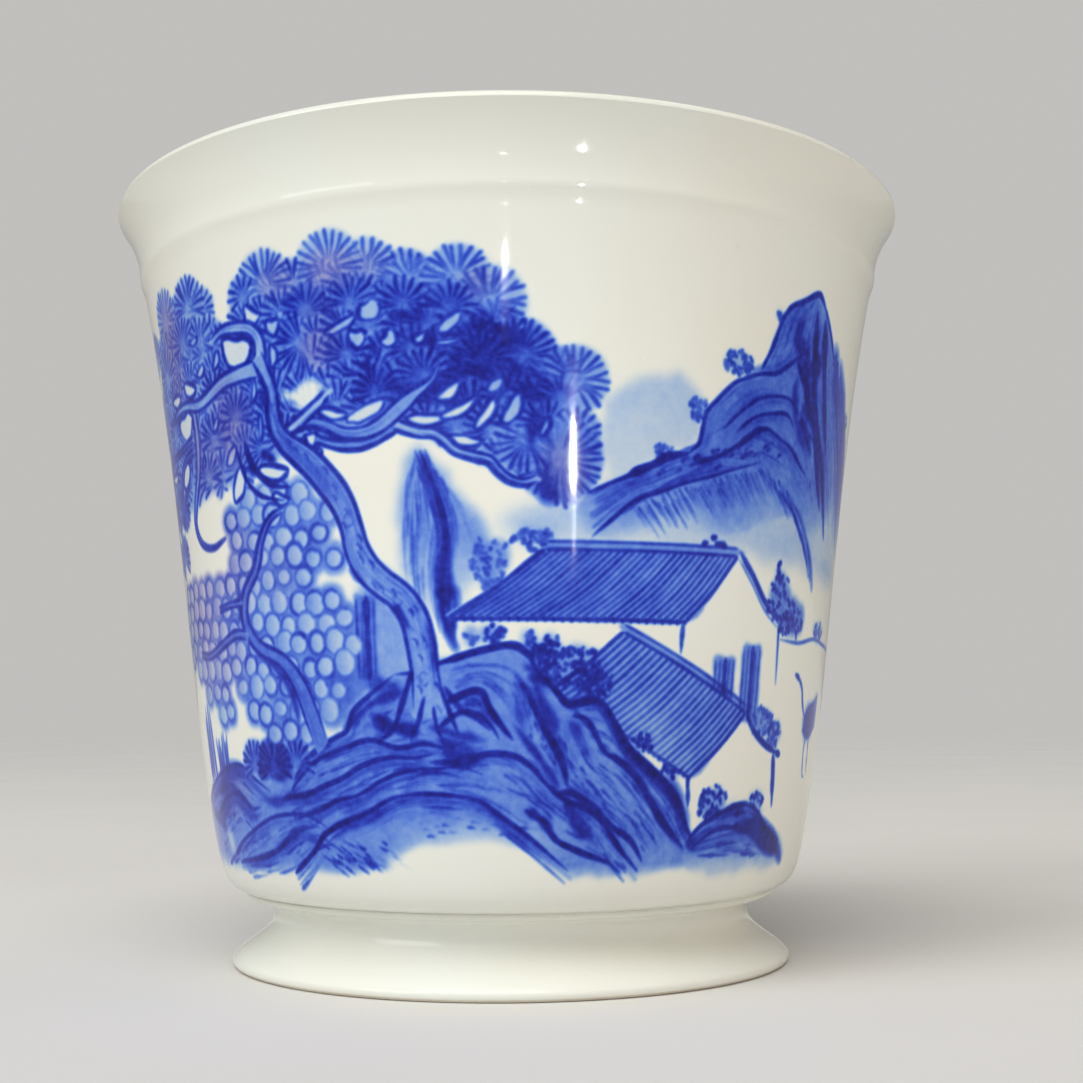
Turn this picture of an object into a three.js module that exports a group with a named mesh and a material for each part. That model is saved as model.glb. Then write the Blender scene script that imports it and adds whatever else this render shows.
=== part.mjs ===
// A porcelain teacup: a flared, straight-sided bowl with a turned-out lip, standing on a low
// trumpet-shaped foot ring that is luted to it with slip. Millimetres, +Z up. The origin is on the
// cup's axis, in the plane that it stands on.
import * as THREE from 'three';

// Driving dimensions
const RIM_RADIUS = 39.5;        // outside of the lip
const HEIGHT = 73.4;            // from the standing plane to the top of the lip
const LIP_START_HEIGHT = 66.1;  // the crease where the wall turns out into the lip
const LIP_START_RADIUS = 36.95;
const RIM_ROUNDING = 0.65;      // the lip's edge is a half round of this radius
const HEEL_HEIGHT = 13.6;       // where the straight wall starts to turn in
const HEEL_RADIUS = 29.3;
const WAIST_HEIGHT = 7.1;       // underside of the bowl, on top of the slip
const WAIST_RADIUS = 26.0;
const SLIP_THICKNESS = 0.7;
const SLIP_BEAD = 0.25;         // how far the squeezed-out slip stands proud
const NECK_HEIGHT = 4.75;       // narrowest place of the foot
const NECK_RADIUS = 23.35;
const FOOT_RADIUS = 27.25;      // widest place of the foot, just above the standing plane
const FOOT_EDGE_ROUNDING = 0.6;
const FOOT_LAND_WIDTH = 2.6;    // the flat unglazed ring that the cup stands on
const FOOT_BORE_RADIUS = 20.6;  // hollow inside the foot ring, where it meets the bowl
const FLOOR_HEIGHT = 10.8;      // inside bottom of the bowl
const FLOOR_CORNER_RADIUS = 18; // where the floor starts to curve up into the wall
const INNER_WALL_HEIGHT = 26;   // where that curve has become the wall
const INNER_WALL_RADIUS = 28.9;

const TURN_SEGMENTS = 60;
const CURVE_STEPS = 5;

const FOOT_TOP_HEIGHT = WAIST_HEIGHT - SLIP_THICKNESS;
const FOOT_TOP_RADIUS = WAIST_RADIUS - 0.6;

const glazedPorcelain = () => new THREE.MeshStandardMaterial({
  color: 0xe4e4dc,
  roughness: 0.12,
  metalness: 0,
});

const slipUnderGlaze = () => new THREE.MeshStandardMaterial({
  color: 0xdcdccf,
  roughness: 0.2,
  metalness: 0,
});

// Turns an outline of (radius, height) points about the Z axis.
function turned(name, outline, material) {
  const geometry = new THREE.LatheGeometry(outline.getPoints(CURVE_STEPS), TURN_SEGMENTS);
  geometry.rotateX(Math.PI / 2);
  const mesh = new THREE.Mesh(geometry, material);
  mesh.name = name;
  return mesh;
}

// The bowl is one thrown piece: underside, heel, wall, lip, rounded rim, inside wall and floor.
function bowlOutline() {
  const rimCentreRadius = RIM_RADIUS - RIM_ROUNDING;
  const rimCentreHeight = HEIGHT - RIM_ROUNDING;
  const outline = new THREE.Path();
  outline.moveTo(0, WAIST_HEIGHT);
  outline.lineTo(FOOT_BORE_RADIUS, WAIST_HEIGHT);
  outline.lineTo(WAIST_RADIUS, WAIST_HEIGHT);
  // underside and rounded heel
  outline.bezierCurveTo(
    WAIST_RADIUS + 2.2, WAIST_HEIGHT + 0.5,
    HEEL_RADIUS - 0.85, HEEL_HEIGHT - 4.2,
    HEEL_RADIUS, HEEL_HEIGHT,
  );
  // outside wall
  outline.bezierCurveTo(
    HEEL_RADIUS + 2.45, HEEL_HEIGHT + 12.9,
    LIP_START_RADIUS - 4.05, LIP_START_HEIGHT - 19.7,
    LIP_START_RADIUS, LIP_START_HEIGHT,
  );
  // lip turning outwards
  outline.bezierCurveTo(
    LIP_START_RADIUS + 0.5, LIP_START_HEIGHT + 2.4,
    LIP_START_RADIUS + 0.95, LIP_START_HEIGHT + 4.5,
    RIM_RADIUS, rimCentreHeight,
  );
  outline.absarc(rimCentreRadius, rimCentreHeight, RIM_ROUNDING, 0, Math.PI, false);
  // inside of the lip and of the wall
  outline.bezierCurveTo(
    LIP_START_RADIUS - 0.8, LIP_START_HEIGHT + 4,
    LIP_START_RADIUS - 1.5, LIP_START_HEIGHT + 1.5,
    LIP_START_RADIUS - 2, LIP_START_HEIGHT - 1,
  );
  outline.bezierCurveTo(
    LIP_START_RADIUS - 5.6, LIP_START_HEIGHT - 18,
    INNER_WALL_RADIUS + 1.7, INNER_WALL_HEIGHT + 11,
    INNER_WALL_RADIUS, INNER_WALL_HEIGHT,
  );
  // inside corner and floor
  outline.bezierCurveTo(
    INNER_WALL_RADIUS - 1.6, INNER_WALL_HEIGHT - 10.4,
    FLOOR_CORNER_RADIUS + 7, FLOOR_HEIGHT,
    FLOOR_CORNER_RADIUS, FLOOR_HEIGHT,
  );
  outline.lineTo(0, FLOOR_HEIGHT);
  return outline;
}

// The slip that lutes the foot to the bowl: a thin flat ring with a bead squeezed out round it.
function slipOutline() {
  const middle = WAIST_HEIGHT - SLIP_THICKNESS / 2;
  const outline = new THREE.Path();
  outline.moveTo(FOOT_BORE_RADIUS, FOOT_TOP_HEIGHT);
  outline.lineTo(FOOT_TOP_RADIUS, FOOT_TOP_HEIGHT);
  outline.quadraticCurveTo(
    WAIST_RADIUS + SLIP_BEAD, middle,
    WAIST_RADIUS, WAIST_HEIGHT,
  );
  outline.lineTo(FOOT_BORE_RADIUS, WAIST_HEIGHT);
  outline.lineTo(FOOT_BORE_RADIUS, FOOT_TOP_HEIGHT);
  return outline;
}

// The foot ring: a trumpet flare outside, a flat land underneath and a conical hollow inside.
function footOutline() {
  const edgeCentreRadius = FOOT_RADIUS - FOOT_EDGE_ROUNDING;
  const landInnerRadius = edgeCentreRadius - FOOT_LAND_WIDTH;
  const outline = new THREE.Path();
  outline.moveTo(FOOT_BORE_RADIUS, FOOT_TOP_HEIGHT);
  outline.lineTo(landInnerRadius - 0.5, 0.5);
  outline.lineTo(landInnerRadius, 0);
  outline.lineTo(edgeCentreRadius, 0);
  outline.absarc(edgeCentreRadius, FOOT_EDGE_ROUNDING, FOOT_EDGE_ROUNDING, -Math.PI / 2, 0.5, false);
  // flare up to the neck
  outline.bezierCurveTo(
    FOOT_RADIUS - 1.1, 2.1,
    NECK_RADIUS + 0.1, NECK_HEIGHT - 1.7,
    NECK_RADIUS, NECK_HEIGHT,
  );
  // fillet from the neck out to the slip
  outline.bezierCurveTo(
    NECK_RADIUS, NECK_HEIGHT + 1,
    FOOT_TOP_RADIUS - 1, FOOT_TOP_HEIGHT - 0.35,
    FOOT_TOP_RADIUS, FOOT_TOP_HEIGHT,
  );
  outline.lineTo(FOOT_BORE_RADIUS, FOOT_TOP_HEIGHT);
  return outline;
}

const teacup = new THREE.Group();
teacup.add(turned('bowl', bowlOutline(), glazedPorcelain()));
teacup.add(turned('slip_joint', slipOutline(), slipUnderGlaze()));
teacup.add(turned('foot_ring', footOutline(), glazedPorcelain()));

export default teacup;
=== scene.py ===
"""A porcelain teacup painted with a cobalt-blue landscape, on a pale studio floor.

The cup stands on its foot ring at the origin. Its front faces -Y. Shapes and the painting are
worked out in millimetres and turned into metres when a mesh is made.
"""

import math

import bpy
import numpy as np
from mathutils import Matrix


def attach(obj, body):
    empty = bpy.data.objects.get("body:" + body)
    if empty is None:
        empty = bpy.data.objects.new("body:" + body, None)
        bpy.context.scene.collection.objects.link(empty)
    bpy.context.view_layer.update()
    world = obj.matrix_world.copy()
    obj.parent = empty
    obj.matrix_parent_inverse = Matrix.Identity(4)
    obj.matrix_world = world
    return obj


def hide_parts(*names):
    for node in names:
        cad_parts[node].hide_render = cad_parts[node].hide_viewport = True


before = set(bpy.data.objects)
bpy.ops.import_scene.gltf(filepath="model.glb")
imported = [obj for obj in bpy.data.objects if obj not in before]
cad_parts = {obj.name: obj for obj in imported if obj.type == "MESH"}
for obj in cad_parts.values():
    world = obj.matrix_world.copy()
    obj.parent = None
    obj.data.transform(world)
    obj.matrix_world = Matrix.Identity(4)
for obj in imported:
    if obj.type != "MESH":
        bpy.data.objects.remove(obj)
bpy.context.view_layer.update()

MM = 0.001

# ---------------------------------------------------------------------------------------------
# The painting. It is laid on a flat sheet that wraps round the outside wall: u is the distance
# round the cup at SHEET_RADIUS, 0 at the front and growing to the viewer's right, and z is the
# height, both in millimetres. The sheet holds cobalt density: 0 is bare porcelain, 1 a pale
# wash, 3 a full wash and 6 the darkest line.
# ---------------------------------------------------------------------------------------------

SHEET_RADIUS = 33.0
SHEET_LENGTH = 2 * math.pi * SHEET_RADIUS
SHEET_COLUMNS = 2072
CELL = SHEET_LENGTH / SHEET_COLUMNS
SHEET_ROWS = int(66.4 / CELL)
SOFT_EDGE = 0.13      # how far cobalt bleeds into the glaze at a line's edge
LINE = 0.34           # the usual width of an outline
FINE = 0.22           # the width of a texture stroke
NEEDLE_GAP = 0.7      # the distance between the tips of a pine spray's needles
KNEE = 3.8            # the density above which more cobalt shows less and less
KNEE_ROOM = 2.2       # how much it can still rise above that

chance = np.random.default_rng(4127)    # every unevenness of the painter's hand comes from this


def curve_through(points, step):
    """Points about step apart on a smooth curve through the given ones."""
    knots = np.asarray(points, float)
    padded = np.vstack([2 * knots[0] - knots[1], knots, 2 * knots[-1] - knots[-2]])
    pieces = []
    for before, start, end, after in zip(padded, padded[1:], padded[2:], padded[3:]):
        count = max(2, int(np.hypot(*(end - start)) / step) + 1)
        t = np.linspace(0, 1, count, endpoint=False)[:, None]
        pieces.append(
            start
            + 0.5 * t * (end - before)
            + t**2 * (before - 2.5 * start + 2 * end - 0.5 * after)
            + t**3 * (1.5 * (start - end) + 0.5 * (after - before))
        )
    pieces.append(knots[-1:])
    return np.vstack(pieces)


def along(path):
    """How far along a path each of its points is, from 0 to 1."""
    length = np.concatenate([[0], np.cumsum(np.hypot(*np.diff(path, axis=0).T))])
    return length / max(length[-1], 1e-9)


def smooth_noise(count, knots):
    """A smooth random line of values from -1 to 1 with about that many turns."""
    values = chance.uniform(-1, 1, knots + 1)
    return np.interp(np.linspace(0, knots, count), np.arange(knots + 1), values)


def stroke(points, width=LINE, ink=4.0, taper=(0.12, 0.3), shake=0.1):
    """One brush stroke as rows of (u, z, radius, ink): it swells, thins and ends as a brush does."""
    path = curve_through(points, max(0.05, width * 0.22))
    t = along(path)
    press = np.clip(t / max(taper[0], 1e-3), 0, 1) * np.clip((1 - t) / max(taper[1], 1e-3), 0, 1)
    press = press**0.6
    sway = smooth_noise(len(path), 5)
    radius = 0.5 * width * (0.18 + 0.82 * press) * (1 + 2.2 * shake * sway)
    path = path + shake * 0.45 * width * np.column_stack(
        [smooth_noise(len(path), 6), smooth_noise(len(path), 6)]
    )
    strength = ink * (0.72 + 0.28 * press) * (1 + 0.5 * shake * smooth_noise(len(path), 4))
    return np.column_stack([path, radius, strength])


class Sheet:
    """The painted sheet: cobalt density, and where the cobalt has fired violet."""

    def __init__(self):
        self.ink = np.zeros((SHEET_ROWS, SHEET_COLUMNS), np.float32)
        self.violet = np.zeros((SHEET_ROWS, SHEET_COLUMNS), np.float32)

    def window(self, low, high):
        """Rows, wrapped columns, and the u and z of the cells between two corners."""
        rows = np.arange(
            max(0, math.floor(low[1] / CELL)), min(SHEET_ROWS, math.ceil(high[1] / CELL))
        )
        columns = np.arange(math.floor(low[0] / CELL), math.ceil(high[0] / CELL))
        u, z = np.meshgrid((columns + 0.5) * CELL, (rows + 0.5) * CELL)
        return np.ix_(rows, columns % SHEET_COLUMNS), u, z

    def lay(self, marks, soft=SOFT_EDGE, glaze=0.3):
        """Lays strokes. Where they cross older ones the cobalt adds up in part."""
        marks = np.vstack(marks)
        u, z, radius, ink = marks.T
        reach = radius.max() + soft
        place, grid_u, _ = self.window(
            (u.min() - reach, max(0.2, z.min() - reach)), (u.max() + reach, z.max() + reach)
        )
        height, width = grid_u.shape
        first_row = place[0].ravel()[0]
        first_column = math.floor((u.min() - reach) / CELL)
        row = np.floor(z / CELL).astype(int)
        column = np.floor(u / CELL).astype(int)
        layer = np.zeros(height * width, np.float32)
        span = math.ceil(reach / CELL)
        for down in range(-span, span + 1):
            for right in range(-span, span + 1):
                i = row + down
                j = column + right
                away = np.hypot((i + 0.5) * CELL - z, (j + 0.5) * CELL - u)
                cover = np.clip((radius - away) / soft + 0.5, 0, 1)
                i = i - first_row
                j = j - first_column
                inside = (cover > 0) & (i >= 0) & (i < height) & (j >= 0) & (j < width)
                value = (ink * cover)[inside].astype(np.float32)
                np.maximum.at(layer, (i * width + j)[inside], value)
        layer = layer.reshape(height, width)
        old = self.ink[place]
        self.ink[place] = np.maximum(old, layer) + glaze * np.minimum(old, layer)

    def area(self, outline, soft=0.3, rough=0.0):
        """The place and the cover, 0 to 1, of a shape with a smooth outline."""
        edge = curve_through(list(outline) + [outline[0]], 0.5)
        margin = 3 * soft + rough
        place, u, z = self.window(edge.min(0) - margin, edge.max(0) + margin)
        if rough:
            u = u + rough * patches(u.shape, 12)
            z = z + rough * patches(z.shape, 12)
        inside = np.zeros(u.shape, bool)
        for (u0, z0), (u1, z1) in zip(edge, edge[1:]):
            if z0 != z1:
                crosses = ((z0 > z) != (z1 > z)) & (u < (u1 - u0) * (z - z0) / (z1 - z0) + u0)
                inside ^= crosses
        return place, blurred(inside.astype(np.float32), soft / CELL), u, z

    def wash(self, outline, ink, soft=0.3, shade=None, rough=0.15, keep=0.0):
        """A filled shape. shade(u, z) scales the ink; keep is how much of it replaces what is there."""
        place, cover, u, z = self.area(outline, soft, rough)
        layer = cover * ink * (1 if shade is None else np.clip(shade(u, z), 0, None))
        layer = layer * (1 + 0.10 * patches(cover.shape, 9) + 0.06 * patches(cover.shape, 3))
        old = self.ink[place] * (1 - keep * cover)
        self.ink[place] = np.maximum(old, layer) + 0.3 * np.minimum(old, layer)

    def clear(self, outline, soft=0.12, left=0.0):
        """Wipes a shape back to bare porcelain, or to a share of what was there."""
        place, cover, _, _ = self.area(outline, soft)
        self.ink[place] = self.ink[place] * (1 - (1 - left) * cover)

    def fire(self):
        """The kiln: the darkest cobalt levels off, and what turns violet thins."""
        deep = np.clip(self.ink - KNEE, 0, None)
        self.ink = np.minimum(self.ink, KNEE) + KNEE_ROOM * (1 - np.exp(-deep / KNEE_ROOM))
        self.ink = self.ink * (1 - 0.25 * self.violet)

    def blush(self, *spots):
        """Soft patches where the cobalt fired violet, each as centre, size and amount."""
        for centre, size, amount in spots:
            place, u, z = self.window(np.subtract(centre, size), np.add(centre, size))
            away = np.hypot((u - centre[0]) / size[0], (z - centre[1]) / size[1])
            self.violet[place] = np.maximum(self.violet[place], amount * np.clip(1 - away**2, 0, 1))


def patches(shape, size):
    """Soft random blotches from -1 to 1, about size cells across."""
    lattice = chance.uniform(-1, 1, (shape[0] // size + 3, shape[1] // size + 3))
    for axis, length in ((0, shape[0]), (1, shape[1])):
        at = np.arange(length) / size
        low = np.floor(at).astype(int)
        part = at - low
        part = part * part * (3 - 2 * part)
        if axis:
            lattice = lattice[:, low] * (1 - part) + lattice[:, low + 1] * part
        else:
            lattice = lattice[low] * (1 - part[:, None]) + lattice[low + 1] * part[:, None]
    return lattice


def blurred(picture, sigma):
    """A Gaussian blur, down and then across."""
    reach = max(1, int(2.6 * sigma))
    kernel = np.exp(-0.5 * (np.arange(-reach, reach + 1) / max(sigma, 0.3)) ** 2)
    kernel = kernel / kernel.sum()
    for axis in (0, 1):
        pad = [(reach, reach) if a == axis else (0, 0) for a in (0, 1)]
        wide = np.pad(picture, pad, mode="edge")
        total = np.zeros_like(picture)
        for shift, share in enumerate(kernel):
            if axis == 0:
                total += share * wide[shift:shift + picture.shape[0]]
            else:
                total += share * wide[:, shift:shift + picture.shape[1]]
        picture = total
    return picture


# --- brushwork shared by the motifs ----------------------------------------------------------

FLOW_STEPS = 40       # the points along each guide line of a run of texture strokes


def heading(angle):
    """The unit step in a direction."""
    return np.array([math.cos(angle), math.sin(angle)])


def flow(sheet, near, far, count, width=FINE, ink=(1.6, 3.2), reach=(0.25, 0.7), fade=None):
    """Texture strokes that follow a form: each runs part of the way between two guide lines."""
    guides = []
    for guide in (near, far):
        path = curve_through(guide, 0.5)
        t = np.linspace(0, 1, FLOW_STEPS)
        guides.append(np.column_stack([np.interp(t, along(path), path[:, k]) for k in (0, 1)]))
    near, far = guides
    marks = []
    for _ in range(count):
        share = chance.uniform(0.02, 0.98)
        length = chance.uniform(*reach)
        start = chance.uniform(-0.05, 1.02 - length)
        first = max(0, int(start * (FLOW_STEPS - 1)))
        last = min(FLOW_STEPS - 1, int((start + length) * (FLOW_STEPS - 1)))
        if last - first < 3:
            continue
        drift = np.linspace(share, share + chance.uniform(-0.06, 0.06), FLOW_STEPS)[:, None]
        path = (near * (1 - drift) + far * drift)[first:last + 1:3]
        strength = chance.uniform(*ink)
        if fade is not None:
            strength *= fade(path[len(path) // 2])
        marks.append(stroke(path, width * chance.uniform(0.6, 1.5), strength, (0.2, 0.6), 0.12))
    sheet.lay(marks, soft=0.16, glaze=0.12)


def flows(sheet, rows):
    """Several runs of texture strokes."""
    for row in rows:
        flow(sheet, *row)


def shades(sheet, lines, width=1.2, ink=3.0, soft=0.7):
    """Broad soft strokes, for the dark side of a fold or a ledge."""
    marks = []
    for points in lines:
        wide = width * chance.uniform(0.8, 1.2)
        marks.append(stroke(points, wide, ink * chance.uniform(0.9, 1.1), (0.2, 0.3), 0.2))
    sheet.lay(marks, soft=soft, glaze=0.15)


def lower(points, right, down):
    """A copy of a line moved right and down."""
    return [(p[0] + right, p[1] - down) for p in points]


def contours(sheet, lines, width=LINE, ink=5.0):
    """Dark outlines: each is a list of points, drawn with a swelling, tapering brush."""
    sheet.lay([stroke(points, width * chance.uniform(0.8, 1.25), ink) for points in lines])


def bush(sheet, centre, size, dots, ink=4.0, wash=1.2):
    """A shrub dabbed in dots over a pale wash."""
    middle = np.array(centre, float)
    half_size = np.array(size, float) * 0.5
    angles = np.linspace(0, 2 * math.pi, 9)[:-1]
    ring = [middle + half_size * chance.uniform(0.75, 1.05) * heading(a) for a in angles]
    sheet.wash(ring, wash, soft=0.3, rough=0.4)
    marks = []
    for _ in range(dots):
        way = heading(chance.uniform(0, 2 * math.pi))
        spot = middle + half_size * math.sqrt(chance.uniform(0, 1)) * way
        lean = chance.uniform(0, math.pi)
        half = chance.uniform(0.1, 0.28) * heading(lean)
        marks.append(stroke([spot - half, spot, spot + half], chance.uniform(0.28, 0.46),
                            ink * chance.uniform(0.7, 1.15), (0.1, 0.1)))
    sheet.lay(marks, glaze=0.15)


def bushes(sheet, rows):
    """Several shrubs, each as centre, size, dots, ink and wash."""
    for row in rows:
        bush(sheet, *row)


def pine_fan(centre, radius, tilt=0, spread=210, ink=3.4):
    """The strokes of one round spray of pine needles, which darken towards their tips."""
    needles = int(spread / 360 * 2 * math.pi * radius / NEEDLE_GAP)
    marks = []
    for turn in np.linspace(-spread / 2, spread / 2, needles):
        out = heading(math.radians(90 + tilt + turn + chance.uniform(-2.5, 2.5)))
        side = np.array([-out[1], out[0]])
        length = radius * chance.uniform(0.92, 1.03)
        bend = side * length * chance.uniform(-0.06, 0.06)
        points = [centre + out * radius * 0.2, centre + out * length * 0.6 + bend,
                  centre + out * length]
        marks.append(stroke(points, chance.uniform(0.28, 0.40), ink * chance.uniform(0.85, 1.12),
                            (0.55, 0.05), 0.06))
    return marks


def needle_cloud(sheet, centre, radius, tilt=0, spread=210, ink=3.4, wash=1.3, keep=0.55):
    """A spray of needles over its own wash, which partly hides what lies behind it."""
    centre = np.array(centre, float)
    low = math.radians(90 + tilt - spread / 2)
    high = math.radians(90 + tilt + spread / 2)
    rim = [centre + radius * 0.97 * heading(a) for a in np.linspace(low, high, 14)]
    if spread < 300:
        rim.append(centre - 0.25 * radius * heading((low + high) / 2))
    sheet.wash(rim, wash, soft=0.2, rough=0.1, keep=keep)
    sheet.lay(pine_fan(centre, radius, tilt, spread, ink), soft=0.2, glaze=0.3)


def branch(sheet, points, widths, fill=1.3, ink=4.6, grain=6, line=0.28):
    """A limb: wiped clear, washed pale, outlined on both sides and grained along its length."""
    path = curve_through(points, 0.4)
    t = along(path)
    half = 0.5 * np.interp(t, np.linspace(0, 1, len(widths)), widths)
    half = half * (1 + 0.10 * smooth_noise(len(path), max(3, len(path) // 8)))
    ahead = np.gradient(path, axis=0)
    ahead = ahead / np.maximum(np.hypot(*ahead.T), 1e-9)[:, None]
    side = np.column_stack([-ahead[:, 1], ahead[:, 0]])
    left = path + side * half[:, None]
    right = path - side * half[:, None]
    outline = np.vstack([left[::2], right[::-2]])
    sheet.clear(outline, soft=0.1)
    sheet.wash(outline, fill, soft=0.15, rough=0.05)
    edges = [stroke(left[::3], line, ink, (0.05, 0.1), 0.14),
             stroke(right[::3], line * 1.15, ink, (0.05, 0.1), 0.14)]
    for _ in range(grain):
        share = chance.uniform(-0.7, 0.7)
        first = int(chance.uniform(0, 0.7) * len(path))
        last = min(len(path), first + int(chance.uniform(0.15, 0.4) * len(path)) + 4)
        inner = (path + side * (half * share)[:, None])[first:last:3]
        if len(inner) > 2:
            edges.append(stroke(inner, 0.2, ink * chance.uniform(0.35, 0.6), (0.3, 0.5)))
    sheet.lay(edges, glaze=0.2)


def gap(sheet, centre, length, width, tilt, ink=4.6, tone=0.25):
    """A pale lens between boughs, with a dark outline."""
    forward = heading(math.radians(tilt))
    side = np.array([-forward[1], forward[0]])
    bow = chance.uniform(0.1, 0.3) * width
    ring = []
    for a in np.linspace(0, 2 * math.pi, 13)[:-1]:
        across = width / 2 * math.sin(a) + bow * math.cos(a)**2
        ring.append(np.array(centre) + forward * length / 2 * math.cos(a) * chance.uniform(0.9, 1.08)
                    + side * across * chance.uniform(0.88, 1.1))
    sheet.clear(ring, soft=0.18, left=0.06)
    sheet.wash(ring, tone, soft=0.2)
    sheet.lay([stroke(ring + ring[:1], 0.34, ink, (0.02, 0.04), 0.25)], soft=0.22, glaze=0.15)


# --- the motifs, from the farthest to the nearest --------------------------------------------


def far_hills(sheet):
    """Pale washes with no outline, for hills in mist."""
    sheet.wash([(7.6, 49.4), (9.4, 51.0), (12.2, 52.0), (14.4, 51.6), (16, 50.2), (16.4, 47.5),
                (14.5, 45.8), (12, 44.3), (9, 42.6), (7.4, 45)], 0.72, soft=0.4, rough=0.5,
               shade=lambda u, z: 0.65 + 0.35 * np.clip((z - 44) / 6, 0, 1))
    sheet.wash([(-1.6, 39.6), (3, 40.8), (8, 42.2), (12, 43.0), (20, 42.2), (30, 41.6), (40, 41),
                (42, 36.6), (30, 36.8), (21, 37.8), (12, 38.0), (1, 37.8)], 0.8, soft=0.7, rough=0.6)
    for left, right, top, foot, ink in ((58, 76, 47, 40, 0.7), (72, 97, 44, 38.5, 0.5),
                                        (-101, -80, 46, 39, 0.6)):
        width = right - left
        rise = top - foot
        sheet.wash([(left, foot), (left + 0.2 * width, foot + 0.6 * rise), (left + 0.42 * width, top),
                    (left + 0.6 * width, top - 1.2), (left + 0.8 * width, foot + 0.5 * rise),
                    (right, foot)], ink, soft=0.5, rough=0.5,
                   shade=lambda u, z, f=foot: np.clip((z - f) / 3.5, 0.05, 1))


# The guide lines of the tall peak behind the houses.
LEFT_RIDGE = [
    (6.2, 41.6), (8.4, 42.6), (9.8, 43.2), (12.2, 44.3), (13.2, 44.9), (15.3, 45.4), (16.3, 46.3),
    (16.6, 47.8), (16.9, 49.0), (18, 50.2), (19.7, 51.8), (21.4, 52.4), (22.7, 53.0),
]
PEAK = [
    (22.5, 53.2), (23.5, 55.1), (24.1, 56.7), (24.7, 58.3), (25.6, 59.2), (27.3, 60.1), (29.1, 61),
    (29.9, 60.8), (31.1, 59.6),
]
RIGHT_RIDGE = [
    (30.6, 60.2), (31.3, 59.4), (32.6, 57.8), (33.7, 56.0), (34.9, 53.6), (36.6, 51.4), (39.2, 50.2),
    (41.4, 49.2), (43.6, 44.6), (46.5, 39.8),
]
MOUNTAIN_FOOT = [
    (45, 37.2), (41, 37), (38, 38.3), (36, 37.6), (34, 36.6), (31.8, 39.6), (28, 41), (24, 39.6),
    (19, 38.6), (13, 38.2), (8, 37.8), (5, 39.2),
]
LOW_RIDGE = [
    (6.9, 38.2), (9, 40.0), (10.7, 41.3), (12.7, 42.0), (15.1, 42.9), (17.7, 43.6), (19.7, 44.3),
    (21.8, 44.9), (23.4, 45.4),
]
MIDDLE_RIDGE = [
    (15.4, 44.3), (16.8, 44.9), (18.6, 45.5), (20.6, 46.6), (22.7, 48.0), (24.1, 48.3), (25.6, 47.7),
    (27.3, 47.1), (29.1, 45.8), (30.4, 45.0),
]
THIRD_RIDGE = [(20.2, 47.6), (21.4, 48.6), (22.7, 49.3), (24.4, 49.7), (26.4, 49.9), (27.6, 48.9)]
UPPER_RIDGE = [(18.6, 47.6), (20.2, 49.1), (22.1, 50.5), (24.4, 51.2), (26.7, 51.2), (28.4, 50.0)]
SHOULDER = [(20.4, 52.2), (22.7, 52.9), (24.4, 53.2), (26.2, 54.3), (27.6, 55.3), (28.9, 55.8)]
FIRST_FOLD = [
    (27.2, 54.6), (28.8, 52.8), (29.9, 50.8), (31.4, 49), (32.3, 46.7), (33.2, 44.3), (34.2, 42.2),
]
SECOND_FOLD = [
    (29.4, 59.6), (29.6, 57.8), (30.0, 54.8), (30.6, 52.0), (31.8, 49.4), (33.6, 46.4), (35.0, 43),
    (36.2, 39.8),
]
PALE_BAND = [(31.6, 58.6), (32.2, 57.0), (32.7, 54.0), (33.5, 51.2), (34.8, 48.2), (36.4, 45), (37.9, 41)]
DARK_BAND = [(34.0, 57.0), (34.9, 54.3), (36, 52), (37.2, 49.9), (38.6, 47.6), (39.9, 45), (41.4, 40)]
EDGE_BAND = [(35.6, 56.0), (38.2, 51.6), (40.6, 48.6), (42.4, 45), (44, 40.5)]
INNER_SLOPE = [(24.4, 47.6), (26.8, 45.6), (29.4, 43.6), (31.4, 41.8)]
PEAK_SPINE = [(29.1, 60.8), (29.3, 58.6), (28.9, 56.6), (28.4, 55.4)]
FALLING_TAIL = [
    (26.2, 44.0), (28.2, 42.6), (29.9, 41.3), (31.1, 40), (32.6, 38.2), (33.4, 36.8), (34.1, 35.0),
]


def fading_down(point):
    """How strong a stroke on the peak is: the lower slopes fade into mist."""
    return float(np.clip((point[1] - 37.5) / 7, 0.2, 1))


def mountain_body(sheet):
    """The washed body, whose foot fades into mist."""

    def mist(u, z):
        low = 38.0 + 1.0 * np.sin(u * 0.55) + 1.2 * np.clip((u - 26) / 6, 0, 1)
        return np.clip((z - low) / 5.5, 0, 1) ** 0.8

    sheet.wash(LEFT_RIDGE + PEAK[1:] + RIGHT_RIDGE[2:] + MOUNTAIN_FOOT, 2.4, soft=0.22, rough=0.12,
               shade=mist, keep=0.25)


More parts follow.
